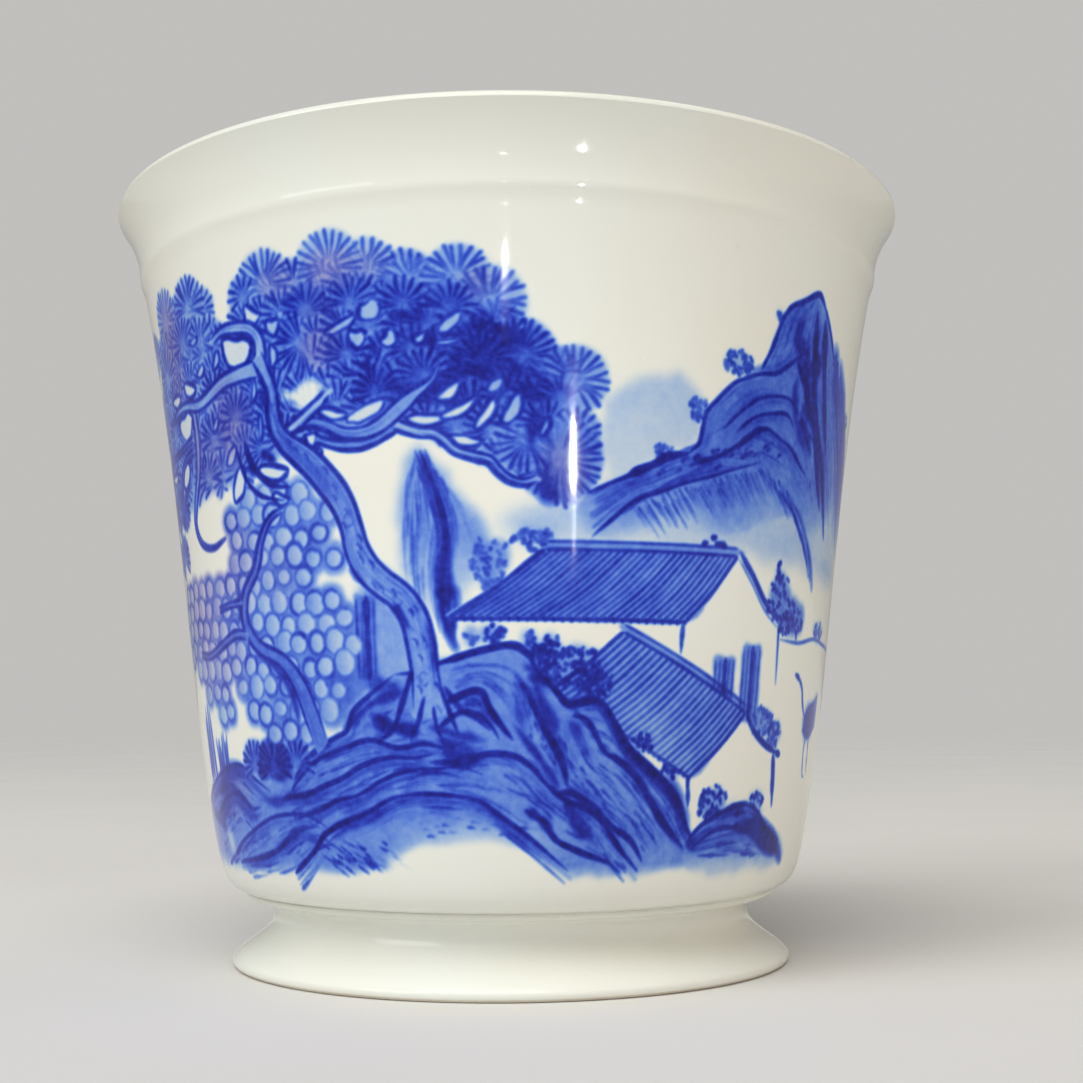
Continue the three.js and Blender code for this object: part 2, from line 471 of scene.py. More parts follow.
def mountain_shading(sheet):
    """The dark sides of the folds, and the soft dark under each ridge."""
    shades(sheet, [SECOND_FOLD[:5], lower(SECOND_FOLD[1:5], -1.2, 0.3)], 1.4, 4.6, 1.1)
    shades(sheet, [SECOND_FOLD[3:]], 1.3, 2.8, 0.9)
    shades(sheet, [DARK_BAND, EDGE_BAND], 1.6, 3.4, 1.1)
    shades(sheet, [
        FIRST_FOLD[:4],
        [(27.6, 53.6), (27.4, 51.4), (28.2, 49.0), (30.2, 46.6)],
        [(28.4, 50.6), (29.4, 48.8), (31.2, 46.8)],
        [(27.2, 58.6), (27.0, 56.8), (27.9, 55.6)],
    ], 1.4, 4.6, 1.0)
    shades(sheet, [
        lower(UPPER_RIDGE, 0.2, 0.5), lower(THIRD_RIDGE, 0.1, 0.4), lower(MIDDLE_RIDGE[3:], 0, 0.5),
        lower(LEFT_RIDGE[3:9], 0.6, 0.4), lower(SHOULDER, 0.2, -0.5),
    ], 0.7, 2.8, 0.6)
    shades(sheet, [
        [(27.4, 54.9), (28.8, 54.4), (30.4, 54.2)],
        [(28.4, 49.6), (29.8, 48.9), (31.2, 48)],
        [(28.9, 51.2), (29.8, 50.4), (30.8, 49.9)],
        [(30.0, 55.8), (30.8, 53.8)],
    ], 1.5, 4.7, 0.8)


def mountain_texture(sheet):
    """The fine strokes that run along the ridges and down the folds."""
    flows(sheet, (
        (LEFT_RIDGE[4:], UPPER_RIDGE, 60, 0.24, (1.6, 3.2), (0.25, 0.8)),
        (PEAK[:7], PEAK_SPINE[::-1], 90, 0.24, (1.8, 3.8), (0.2, 0.7)),
        (PEAK[3:7], SHOULDER[1:], 40, 0.24, (1.8, 3.6), (0.2, 0.6)),
        (LOW_RIDGE, MIDDLE_RIDGE, 90, 0.25, (1.8, 4.0), (0.2, 0.7)),
        (LEFT_RIDGE[:6], LOW_RIDGE[:7], 80, 0.25, (1.6, 3.6), (0.2, 0.7)),
        (MIDDLE_RIDGE, UPPER_RIDGE, 50, 0.23, (1.5, 2.9), (0.2, 0.6)),
        (UPPER_RIDGE, SHOULDER, 44, 0.23, (1.4, 2.8), (0.2, 0.6)),
        (SECOND_FOLD, PALE_BAND, 70, 0.34, (1.6, 3.6), (0.2, 0.6), fading_down),
        (PALE_BAND, DARK_BAND, 44, 0.34, (1.6, 3.4), (0.2, 0.6), fading_down),
        (DARK_BAND, EDGE_BAND, 56, 0.36, (1.8, 3.8), (0.2, 0.6), fading_down),
        (FIRST_FOLD, SECOND_FOLD[2:], 56, 0.3, (2.2, 4.6), (0.15, 0.5), fading_down),
        (INNER_SLOPE, FIRST_FOLD[2:], 60, 0.28, (1.4, 3.2), (0.15, 0.5)),
    ))
    combs = []
    crest = curve_through(LOW_RIDGE + [(25.4, 44.6), (27.4, 43.6)], 0.3)
    for share in np.linspace(0, 1, 120):
        top = crest[int((0.22 + 0.78 * share) * (len(crest) - 1))]
        top = top - (0, chance.uniform(0.3, 1.3)) + chance.uniform(-0.2, 0.2, 2)
        fall = np.array([1.0, -1.25]) * chance.uniform(0.7, 1.9)
        combs.append(stroke([top, top + fall * 0.5, top + fall], 0.27,
                            chance.uniform(1.8, 3.9), (0.05, 0.85)))
    sheet.lay(combs, soft=0.2)
    shades(sheet, [FALLING_TAIL], 0.9, 3.0, 0.6)
    flow(sheet, FALLING_TAIL, lower(FALLING_TAIL, -0.7, 0.5), 30, 0.26, (2.4, 4.4), (0.1, 0.4))


def mountain_outlines(sheet):
    """The outlines of the ridges and the darkest folds."""
    contours(sheet, [
        LEFT_RIDGE[:7], LEFT_RIDGE[5:], PEAK[:5], PEAK[3:], RIGHT_RIDGE[:4], LOW_RIDGE, MIDDLE_RIDGE[:7],
        MIDDLE_RIDGE[5:], SHOULDER, UPPER_RIDGE, THIRD_RIDGE,
    ], 0.40, 4.9)
    contours(sheet, [
        FIRST_FOLD, SECOND_FOLD, [(31, 59.2), (31.8, 55.4), (32.9, 51.4), (34.4, 47.4)],
        LEFT_RIDGE[2:6], MIDDLE_RIDGE[3:6],
    ], 0.7, 5.2)


def mountain_growth(sheet):
    """The grass along the low ridge and the shrubs on the skyline."""
    tufts = []
    for share in np.linspace(0, 1, 26):
        at = np.array([13.0 + 12 * share, 44.0 + 2.4 * share]) + chance.uniform(-0.8, 0.8, 2)
        tufts.append(stroke([at, at + (0.5, 0.35), at + (0.9, 0.4)], 0.42, chance.uniform(3.8, 5.2),
                            (0.2, 0.5), 0.2))
    sheet.lay(tufts, soft=0.2, glaze=0.1)
    bushes(sheet, (
        ((19.8, 53.5), (3.2, 1.9), 40, 3.4, 1.2), ((16.0, 49.2), (1.7, 1.9), 22, 3.4, 1.2),
        ((12.9, 45.4), (2.0, 1.0), 16, 3.4, 1.2), ((24.1, 58.2), (0.9, 0.7), 6, 3.4, 1.2),
        ((34.2, 56.0), (1.4, 1.0), 12, 3.4, 1.2), ((40.0, 51.4), (1.8, 1.4), 14, 3.4, 1.2),
    ))


def right_mountain(sheet):
    """The tall peak behind the houses: washed body, folded ridges and long falling strokes."""
    mountain_body(sheet)
    mountain_shading(sheet)
    mountain_texture(sheet)
    mountain_outlines(sheet)
    mountain_growth(sheet)


def cone_peak(sheet):
    """A distant cone of falling strokes, dark along its spine and fading to both sides."""
    spine = [(-7.3, 45.3), (-6.6, 43.2), (-5.8, 41), (-5.3, 38.4), (-5.7, 35.6), (-5.8, 33), (-5.5, 30.4)]
    left = [(-7.7, 45.0), (-8.7, 42.5), (-9.2, 39), (-9.1, 35.5), (-8.9, 33.5)]
    right = [(-7.1, 45.0), (-5.2, 42.8), (-3.4, 40.6), (-2.0, 38.6), (-1.2, 37.4)]
    sheet.wash([(-7.4, 45.5), (-8.6, 43.6), (-9.2, 40), (-9.0, 35), (-6, 31.8), (-3.4, 34),
                (-1.6, 37.6), (-4.6, 42.2)], 1.5, soft=0.45, rough=0.3,
               shade=lambda u, z: np.clip((z - 30) / 8, 0.4, 1))
    flow(sheet, left, spine, 60, 0.26, (1.2, 3.4), (0.2, 0.6))
    flow(sheet, spine, right, 46, 0.26, (0.9, 2.4), (0.2, 0.55))
    shades(sheet, [spine[1:], [(-5.8, 36.5), (-5.4, 33), (-4.8, 29.2)]], 1.2, 4.2, 0.6)
    shades(sheet, [
        [(-5.9, 33.4), (-5.6, 31.2), (-4.6, 29.0)],
        [(-5.6, 31.7), (-4.0, 31.6)],
        [(-5.0, 34.6), (-4.6, 32.4), (-4.3, 30.2)],
    ], 1.1, 4.8, 0.7)
    middle = np.array(spine)
    flow(sheet, middle - (0.9, 0), middle + (1.0, 0), 54, 0.32, (2.2, 4.4), (0.15, 0.4))
    contours(sheet, [spine], 0.5, 4.8)
    bushes(sheet, (((-1.7, 36.0), (3.2, 4.6), 60, 3.2, 1.7), ((2.0, 37.9), (3.8, 1.8), 30, 3.4, 1.2)))


def tiled_roof(sheet, ridge, eave, rows, sag=0.35, wash=1.6):
    """A roof slope between a ridge and an eave: washed, then lined with rows of tiles."""
    ridge = np.array(ridge, float)
    eave = np.array(eave, float)
    middle = [(ridge[k] + eave[k]) / 2 - (0, sag) for k in (0, 1)]
    # The points beside the ridge's ends keep its corners sharp.
    shape = [ridge[0], ridge[0] * 0.5 + ridge[1] * 0.5, ridge[1], ridge[1] * 0.999 + middle[1] * 0.001,
             middle[1], eave[1], eave[1] * 0.5 + eave[0] * 0.5, eave[0], middle[0],
             ridge[0] * 0.999 + middle[0] * 0.001]
    sheet.clear(shape, soft=0.08)
    sheet.wash(shape, wash, soft=0.1, rough=0.03)
    marks = []
    for row in range(rows + 1):
        share = row / rows
        top = ridge[0] * (1 - share) + ridge[1] * share
        foot = eave[0] * (1 - share) + eave[1] * share
        bend = (top + foot) / 2 - (0, sag)
        edge = row in (0, rows)
        marks.append(stroke([top, bend, foot], 0.42 if edge else 0.33,
                            4.6 if edge else chance.uniform(3.3, 4.4), (0.03, 0.05), 0.08))
        marks.append(stroke([foot + (-0.1, 0.12), foot, foot + (0.04, -0.12)], 0.38, 4.8, (0.1, 0.1)))
    marks.append(stroke([eave[0], eave[1]], 0.34, 4.6, (0.02, 0.02), 0.08))
    sheet.lay(marks, glaze=0.1)
    lift = np.array([0.05, 0.62])
    centre = (ridge[0] + ridge[1]) / 2
    sheet.wash([ridge[0], ridge[0] + lift, centre + lift, ridge[1] + lift, ridge[1], centre], 1.8,
               soft=0.1)
    sheet.lay([stroke(ridge, 0.34, 4.6, (0.02, 0.02), 0.06),
               stroke(ridge + lift, 0.27, 4.2, (0.02, 0.02), 0.06)], glaze=0.1)


def upper_house(sheet):
    """The upper house: its pale walls, tiled roof, gable edge and ridge ends."""
    sheet.clear([(-4.6, 31.6), (6, 31.4), (15.7, 31.4), (15.6, 28.2), (9.8, 30.2), (3, 28), (-4, 29.2)])
    sheet.clear([(21.6, 37.3), (18.7, 34.2), (15.8, 31.3), (15.6, 26.6), (28.0, 26.4), (27.8, 31.6),
                 (24.6, 34.4)], soft=0.1)
    tiled_roof(sheet, [(2.9, 37.1), (21.3, 37.1)], [(-5.4, 31.5), (15.8, 31.3)], 28)
    contours(sheet, [[(21.6, 37.5), (23.6, 35.4), (25.7, 33.1), (27.9, 31.6)]], 0.42, 4.6)
    sheet.lay([stroke([(21.4, 37.0), (23.4, 34.9), (25.4, 32.7), (27.6, 31.2)], 0.2, 2.8)])
    contours(sheet, [[(15.65, 31.2), (15.55, 28.7)], [(27.9, 31.5), (28.15, 26.2)]], 0.32, 3.8)
    for spot in ((17.6, 38.0), (18.5, 38.5), (19.0, 38.0), (19.5, 38.0), (19.7, 37.8)):
        sheet.lay([stroke([np.subtract(spot, (0.25, 0)), np.add(spot, (0.25, 0.05))], 0.45, 4.6)])


def lower_house(sheet):
    """The lower house, with its bamboo screens behind and shrubs beside the gable."""
    sheet.clear([(24, 23.8), (20.5, 20.8), (17.2, 18.3), (17.1, 14.2), (22, 14), (29.8, 14.0),
                 (29.4, 20.4)], soft=0.1)
    screen(sheet, 19.3, 21.8, 24.4, 28.4)
    screen(sheet, 22.8, 25.4, 23.0, 29.5)
    tiled_roof(sheet, [(9.9, 30.4), (23.8, 23.7)], [(3.4, 25.6), (17.2, 18.3)], 25, sag=0.25)
    sheet.clear([(9.4, 23.6), (11.6, 24.8), (14.6, 23.2), (16.8, 20.4), (15.6, 18.4), (12, 20.4)],
                soft=1.2, left=0.62)
    contours(sheet, [[(23.9, 23.8), (25.2, 22.2), (27.4, 20.9), (30.1, 20.0)]], 0.5, 5.0)
    contours(sheet, [[(17.1, 18.4), (17.4, 15.8)], [(28.9, 20.2), (29.7, 15.4)]], 0.5, 4.4)
    sheet.lay([stroke([(29.5, 20.2), (30.1, 20.0)], 0.6, 5.2)])
    bushes(sheet, (((26.5, 23.0), (4.0, 2.4), 44, 3.2, 1.8), ((28.7, 21.9), (2.4, 2.6), 30, 3.4, 1.8)))


def screen(sheet, left, right, foot, top):
    """A stand of bamboo behind a wall: a washed block of uprights with fine cross-hatching."""
    middle = (left + right) / 2
    sheet.wash([(left, foot), (left, (foot + top) / 2), (left, top), (middle, top + 0.05), (right, top),
                (right, (foot + top) / 2), (right, foot)], 1.9, soft=0.15)
    marks = [stroke([(x, foot), (x + 0.05, top - 0.1)], 0.3, 3.2, (0.1, 0.1))
             for x in np.arange(left + 0.15, right, 0.55)]
    marks += [stroke([(left, z), (right, z)], 0.14, 2.8, (0.1, 0.1))
              for z in np.arange(foot + 0.1, top, 0.3)]
    marks.append(stroke([(middle + 0.1, foot), (middle + 0.1, top)], 0.6, 4.4, (0.05, 0.1)))
    sheet.lay(marks, glaze=0.15)


def crane(sheet):
    """The standing crane: its washed body, bill, neck, legs and wing feathers."""
    sheet.wash([(34.9, 23.3), (36.0, 24.3), (37.6, 24.6), (39.2, 25.3), (39.8, 24.2), (39.0, 22.5),
                (38.0, 21.3), (36.4, 21.2), (35.2, 22.1)], 2.4, soft=0.3, rough=0.2)
    contours(sheet, [[(28.2, 30.2), (32, 30.0), (36, 30.5), (40, 30.1), (46, 29.7), (54, 30.2)]],
             0.36, 3.2)
    bush(sheet, (37.2, 31.2), (3.6, 1.5), 22, 3.6, 1.8)
    sheet.lay([
        stroke([(31.9, 27.2), (32.5, 27.0), (33.1, 26.7)], 0.5, 4.8, (0.6, 0.2)),
        stroke([(32.9, 26.9), (33.9, 25.9), (34.4, 24.7), (34.9, 23.8), (35.6, 23.2)], 0.34, 4.0),
        stroke([(36.3, 21.6), (36.3, 19.6), (36.8, 18.0), (37.5, 17.8)], 0.26, 3.6),
        stroke([(37.6, 21.4), (37.9, 19.5), (38.2, 18.0)], 0.26, 3.4),
    ])
    feathers = []
    for share in np.linspace(0, 1, 9):
        points = [(35.1 + 0.2 * share, 22.2 + 1.2 * share), (36.8, 21.5 + 2.7 * share),
                  (38.4, 21.9 + 2.8 * share), (40.0, 22.6 + 2.9 * share)]
        feathers.append(stroke(points, 0.4, 4.6, (0.15, 0.45)))
    sheet.lay(feathers, glaze=0.2)


def shore(sheet):
    """The garden tree beside the upper house, and then the bank behind it and the crane."""
    bushes(sheet, (
        ((27.6, 33.8), (4.2, 4.4), 44, 4.6, 2.2), ((30.8, 32.2), (3.6, 3.4), 40, 4.4, 2.4),
        ((27.3, 36.0), (1.4, 1.6), 8, 4.4, 1.0), ((28.8, 31.6), (2.6, 2.0), 24, 4.8, 2.6),
    ))
    crane(sheet)




def spots_inside(sheet, outline, across, down, jitter):
    """Spots on a loose staggered grid inside a shape, from its top row down."""
    _, cover, u, z = sheet.area(outline, soft=0.2)
    spots = []
    for row, height in enumerate(np.arange(z.max(), z.min(), -down)):
        for right in np.arange(u.min() + (row % 2) * across / 2, u.max(), across):
            at = np.array([right, height]) + chance.uniform(-jitter, jitter, 2)
            i = int((at[1] - z.min()) / CELL)
            j = int((at[0] - u.min()) / CELL)
            if 0 <= i < cover.shape[0] and 0 <= j < cover.shape[1] and cover[i, j] > 0.6:
                spots.append(at)
    return spots


def round_about(centre, radius, count=8, turn=0.0, squash=1.0):
    """Points round a centre."""
    angles = turn + np.linspace(0, 2 * math.pi, count + 1)[:-1]
    return [centre + radius * np.array([math.cos(a), squash * math.sin(a)]) for a in angles]


SCALE_TREE = [
    (-43.5, 32.0), (-41.4, 35.2), (-38.0, 36.0), (-35.4, 35.6), (-33.0, 36.4), (-30.6, 36.6),
    (-28.6, 37.2), (-27.8, 39.4), (-29.6, 40.4), (-29.0, 41.9), (-26.8, 42.2), (-25.6, 42.6),
    (-24.3, 43.8), (-21.5, 43.4), (-18.4, 43.6), (-16.4, 42.2), (-15.1, 40.6), (-14.7, 37.6),
    (-15.2, 35.8), (-18.6, 35.4), (-18.2, 33.6), (-16.0, 33.4), (-14.6, 32.4), (-13.0, 30.8),
    (-12.8, 28.4), (-14.4, 26.8), (-15.4, 24.6), (-17.4, 22.6), (-20.2, 21.6), (-24.0, 21.8),
    (-26.4, 23.0), (-27.6, 25.4), (-30.4, 26.2), (-31.0, 23.8), (-33.6, 23.4), (-36.4, 24.6),
    (-37.6, 27.0), (-40.2, 28.0), (-43, 29.0),
]


def scale_leaves(sheet):
    """The tree whose foliage is drawn as packed round scales."""
    spots = spots_inside(sheet, SCALE_TREE, 2.02, 1.84, 0.32)
    for at in spots:
        sheet.wash(round_about(at, 1.4), chance.uniform(1.8, 2.5), soft=0.25, rough=0.1)
    for at in spots:
        radius = chance.uniform(0.84, 1.12)
        ring = round_about(at, radius, 8, chance.uniform(0, 1), chance.uniform(0.86, 1.06))
        sheet.clear(ring, soft=0.2, left=0.12)
        sheet.wash(ring, chance.uniform(0.8, 1.1), soft=0.2, rough=0.05,
                   shade=lambda u, z, c=at: 0.7 + 0.8 * np.clip((c[0] - u + 0.5) / 1.2, 0, 1))
        sheet.lay([stroke(ring + ring[:2], 0.34, chance.uniform(2.5, 4.0), (0.03, 0.15), 0.25)],
                  soft=0.28, glaze=0.2)
    shades(sheet, [
        [(-25.8, 29.2), (-23.0, 27.8), (-21.2, 25.4), (-20.6, 22.4)],
        [(-27.4, 34.6), (-27.6, 31.8)],
    ], 0.9, 4.2, 0.6)
    trunks = ([(-20.6, 41.2), (-22.4, 40.5), (-23.8, 38.6), (-24.7, 36.4), (-26.6, 34.2), (-26.9, 31.8),
               (-25.2, 29.7), (-22.2, 28.4), (-20.3, 26.4), (-19.2, 24.0), (-18.0, 20.8)],
              [(-37.6, 29.4), (-34.4, 29.2), (-31, 30.2), (-28.6, 30.9), (-26.6, 30.6)],
              [(-31.4, 33.2), (-29.4, 33.5), (-27.2, 33.6)])
    for path, widths in zip(trunks, ((0.4, 0.7, 0.9, 1.1, 1.4, 1.6), (0.4, 0.7), (0.4, 0.5))):
        branch(sheet, path, widths, 2.6, 5.0, 4, 0.32)
    sheet.blush(((-36, 33), (8, 9), 0.9), ((-30, 37), (7, 6), 0.7), ((-32, 29), (6, 5), 0.6),
                ((-22, 36), (3.5, 3.5), 0.2))


CANOPY = [
    (-40, 57.5), (-36, 60.5), (-30, 60.5), (-26, 57.0), (-22.5, 58.5), (-17.5, 60), (-12, 60), (-6, 59),
    (-1.5, 56), (2.5, 52.6), (5.6, 49.2), (6.2, 45), (5.2, 42.4), (2, 42.8), (-1, 44.4), (-3.4, 45.4),
    (-9.5, 47.6), (-14, 47.0), (-18, 46.6), (-22, 45.0), (-26, 44.2), (-31, 43.6), (-36, 42.6), (-41, 45),
    (-43.5, 51),
]


def canopy_heart(u, z):
    """How near a spot is to the darkest part of the canopy, from 0 to 1."""
    return np.exp(-((u + 1.2) / 8)**2 - ((z - 52.4) / 4.2)**2)


def canopy_ground(sheet):
    """The canopy's dark wash, filled with loose sprays."""
    sheet.wash(CANOPY, 1.6, soft=0.4, rough=0.4, keep=0.4,
               shade=lambda u, z: 1 + 1.7 * canopy_heart(u, z))
    for at in spots_inside(sheet, CANOPY, 2.3, 2.1, 0.5):
        core = float(canopy_heart(*at))
        needle_cloud(sheet, at, chance.uniform(2.0, 2.6), chance.uniform(-60, 60), 230,
                     (4.2 if at[0] > -24 else 3.5) + 1.1 * core, 1.5 + 2.8 * core, keep=0.6)


def canopy_sprays(sheet):
    """The clear sprays on and round the canopy, and the dark between them."""
    sprays = [
        # centre, radius, tilt, spread, ink and wash; the nearer sprays are laid last
        ((-43.0, 57.6), 3.1, 10, 215, 3.6, 1.2), ((-36.4, 60.4), 2.9, 8, 215, 3.0, 1.1),
        ((-31.0, 60.2), 2.9, -6, 215, 3.8, 1.3), ((-20.6, 60.2), 3.0, 6, 215, 3.3, 1.0),
        ((-11.0, 60.4), 2.4, -15, 200, 2.9, 0.9), ((-14.2, 60.7), 3.1, 8, 215, 3.0, 0.9),
        ((-7.4, 58.8), 2.3, 0, 200, 2.9, 1.1), ((-4.0, 59.0), 2.8, -10, 215, 3.5, 1.2),
        ((-1.5, 57.0), 3.0, -30, 215, 3.5, 1.1), ((0.8, 52.8), 3.0, -28, 215, 4.2, 2.0),
        ((5.1, 50.8), 2.9, -36, 225, 3.6, 1.3), ((4.0, 44.5), 3.8, 180, 310, 4.0, 1.8),
        ((-23.0, 59.6), 1.9, 40, 160, 4.2, 1.6), ((-16.6, 57.4), 2.4, 5, 200, 4.6, 2.2),
        ((-12.6, 57.6), 2.3, 0, 190, 4.4, 2.0), ((-8.2, 57.2), 2.2, 5, 190, 4.8, 2.4),
        ((-4.6, 56.6), 2.3, -10, 190, 4.8, 2.2), ((-38.8, 55.4), 3.0, 20, 200, 3.9, 1.5),
        ((-33.0, 57.4), 2.6, 0, 200, 4.4, 1.7), ((-29.6, 57.0), 2.2, -20, 200, 3.8, 1.4),
        ((-17.4, 54.8), 2.9, 100, 190, 4.4, 1.7), ((-13.2, 53.4), 2.2, 0, 200, 4.6, 2.2),
        ((-6.8, 51.2), 2.5, 0, 190, 4.7, 2.1), ((-10.8, 50.2), 2.2, 10, 190, 4.9, 2.8),
        ((-2.2, 52.4), 2.4, -15, 190, 5.4, 3.6), ((-28.4, 52.2), 2.2, 0, 200, 4.2, 1.8),
        ((-38.4, 49.8), 2.8, 20, 215, 3.8, 1.5), ((-29.2, 48.2), 2.6, 5, 200, 4.4, 1.8),
        ((-25.6, 49.6), 2.4, -10, 200, 4.6, 2.2), ((-31.0, 45.0), 2.4, 10, 230, 4.0, 1.6),
        ((1.4, 46.0), 2.9, 140, 150, 3.9, 1.5), ((-41.4, 46.4), 3.0, 20, 250, 4.0, 1.9),
        ((-40.2, 43.0), 2.8, 30, 250, 4.3, 2.3), ((-40.6, 38.6), 2.3, 0, 250, 3.9, 2.2),
        ((-38.5, 43.2), 2.2, 200, 230, 4.6, 2.8), ((-43.6, 42.0), 2.8, 40, 250, 4.4, 2.6),
        ((-43.4, 38.0), 2.4, 0, 250, 3.8, 2.2), ((-44.0, 49.8), 3.0, 10, 250, 4.0, 1.9),
    ]
    for spray in sprays:
        needle_cloud(sheet, *spray)
    shades(sheet, [
        [(-9.4, 56.4), (-8.0, 56.2), (-6.6, 55.8)], [(-19.0, 58.4), (-17.0, 58.6)],
        [(-1.2, 55.0), (1.8, 53.4)], [(-11.0, 54.6), (-10.6, 52.8)], [(-12.2, 52.6), (-10.8, 52.0)],
        [(-24.4, 46.4), (-23.9, 44.4)], [(-22.6, 46.2), (-21.2, 45.4)], [(-22.2, 51.6), (-21.8, 49.8)],
    ], 0.9, 4.8, 0.6)
    shades(sheet, [
        [(-10.5, 50.6), (-6, 50.4), (-3.4, 51.2)], [(-4.6, 52.0), (0, 51.6), (3.8, 50.4)],
        [(-2.0, 54.2), (1.4, 52.8)], [(0.6, 50.2), (3.4, 49.0)],
    ], 2.0, 4.6, 1.6)
    shades(sheet, [
        [(2.4, 48.6), (1.8, 46.4), (2.0, 44.8)], [(3.0, 44.4), (3.0, 42.6), (3.4, 41.0)],
    ], 1.3, 4.6, 0.9)


PINE_TRUNK = [
    (-22.2, 54.4), (-21.6, 53.2), (-20.9, 51.2), (-20.9, 48.8), (-20.0, 47.0), (-17.3, 44.8),
    (-14.9, 42.0), (-13.8, 39.6), (-13.3, 37.5), (-12.4, 35.8), (-11.0, 34.5), (-9.4, 33.3), (-8.3, 31.6),
    (-7.8, 29.6), (-7.5, 27.2), (-7.2, 23.6),
]


def pine_openings(sheet):
    """The bare and the dim openings between the boughs."""
    sheet.clear([(-19.8, 51.2), (-18.6, 51.0), (-17.3, 51.8), (-15.9, 51.6), (-15.8, 50.4), (-16.8, 49.5),
                 (-18.2, 49.2), (-18.5, 50.0), (-19.6, 50.4)], soft=0.25, left=0.04)
    openings = (
        # centre, length, width and tilt
        ((-22.4, 57.7), 2.1, 1.5, -30), ((-24.7, 55.0), 4.0, 2.6, -8), ((-36.6, 52.8), 2.6, 1.2, 0),
        ((-32.9, 53.2), 2.7, 1.3, -18), ((-34.8, 50.1), 3.6, 2.4, 10), ((-36.2, 45.9), 3.3, 1.7, 52),
        ((-41.2, 46.2), 3.4, 1.0, 0), ((-25.9, 43.9), 3.3, 1.6, 65), ((-21.6, 44.4), 3.5, 1.3, -10),
        ((-11.7, 48.6), 3.7, 1.25, 24), ((-14.9, 48.7), 2.8, 0.9, -14), ((-6.7, 47.7), 3.5, 1.0, -2),
        ((-3.9, 48.4), 3.3, 1.0, 27), ((-4.7, 49.8), 2.3, 1.1, 35), ((-1.7, 48.1), 3.1, 1.0, 60),
        ((-3.7, 45.9), 2.9, 0.9, -8), ((-17.1, 46.7), 1.3, 1.2, 0), ((-16.4, 45.6), 0.9, 0.6, 70),
        ((-18.2, 44.9), 1.5, 1.1, 0), ((-20.9, 42.0), 1.9, 1.0, -20),
    )
    dim_openings = (
        ((-20.1, 56.5), 1.5, 1.4, 0), ((-20.3, 54.2), 2.0, 0.8, 88), ((0.4, 48.4), 2.8, 1.2, 62),
        ((-1.1, 50.3), 1.7, 0.9, 45), ((-4.6, 55.4), 2.5, 1.1, 42), ((-13.6, 55.8), 3.0, 0.8, 22),
        ((-10.9, 56.8), 2.0, 1.6, 30), ((-12.2, 54.6), 1.6, 1.4, 0), ((-9.4, 54.4), 1.6, 1.2, 60),
        ((-7.0, 54.3), 1.2, 0.8, 20), ((-4.8, 53.9), 2.2, 0.5, 5), ((-26.7, 46.4), 2.1, 1.0, 45),
        ((-28.7, 49.4), 1.6, 0.7, 50), ((-22.9, 51.4), 1.9, 0.6, 75), ((-22.5, 48.4), 2.4, 0.5, 86),
        ((-27.5, 54.9), 1.8, 0.8, 60), ((-30.2, 54.4), 1.6, 0.9, 30), ((2.9, 47.0), 1.6, 0.7, 70),
        ((-34.6, 47.4), 2.2, 0.8, 22), ((-31.6, 46.4), 1.3, 0.5, 60), ((0.9, 55.0), 1.1, 0.5, 60),
        ((-30.8, 57.2), 1.5, 0.6, 15),
    )
    for spot in openings:
        gap(sheet, *spot, 4.9)
    for spot in dim_openings:
        gap(sheet, *spot, 4.6, 0.95)


def pine_boughs(sheet):
    """The boughs, as guide points, widths along them and the strength of their wash."""
    boughs = [
        ([(-33.4, 48.9), (-36.4, 48.3), (-40, 48.0), (-43.5, 47.8)], (0.5, 0.4), 2.2),
        ([(-33.6, 47.8), (-35.8, 47.3), (-37.4, 46.3), (-38.4, 44.4), (-40.2, 42.8)], (0.5, 0.4), 2.0),
        ([(-32.6, 51.4), (-32.5, 48.8), (-33.1, 45.8), (-34.3, 43.4), (-35.1, 41.2), (-33.9, 39.4),
          (-31.4, 38.8), (-28.8, 39.5)], (0.8, 0.9, 0.7, 0.45, 0.3, 0.15), 1.8),
        ([(-22.2, 53.4), (-24.6, 53.2), (-27.0, 52.9), (-29.6, 52.0), (-31.6, 51.6), (-34.0, 51.9),
          (-36.6, 51.8), (-38.6, 51.2), (-41, 51.4)], (1.5, 1.1, 0.9, 0.6, 0.1), 1.3),
        ([(-21.9, 53.8), (-21.8, 55.6), (-22.7, 56.8), (-24.4, 57.2), (-26.4, 57.2), (-28.2, 56.4)],
         (1.4, 1.0, 0.8, 0.5), 1.1),
        ([(-16.6, 46.8), (-14.4, 46.1), (-12.0, 46.1), (-10.2, 46.8), (-8.8, 47.4)],
         (0.6, 0.8, 0.6), 1.9),
        ([(-9.4, 47.5), (-7.6, 46.8), (-5.8, 46.5), (-4.5, 45.3), (-3.0, 44.7), (-1.6, 44.3),
          (-0.6, 43.2), (0.8, 42.5), (2.6, 42.9)], (0.8, 0.7, 0.5), 1.2),
        ([(-20.2, 47.7), (-18.6, 48.1), (-17.0, 48.2), (-15.6, 47.8), (-14.2, 47.1), (-12.4, 46.9),
          (-10.7, 47.4), (-9.2, 48.5), (-7.6, 49.8), (-6.2, 50.8), (-5.6, 52.0)],
         (0.7, 0.8, 1.0, 1.1, 0.2), 1.5),
        ([(-19.8, 47.5), (-17.8, 48.6), (-16.0, 49.8), (-14.8, 50.9)], (0.7, 0.9, 0.6), 0.9),
    ]
    for path, widths, fill in boughs:
        branch(sheet, path, widths, fill, 4.6, 5, 0.34)


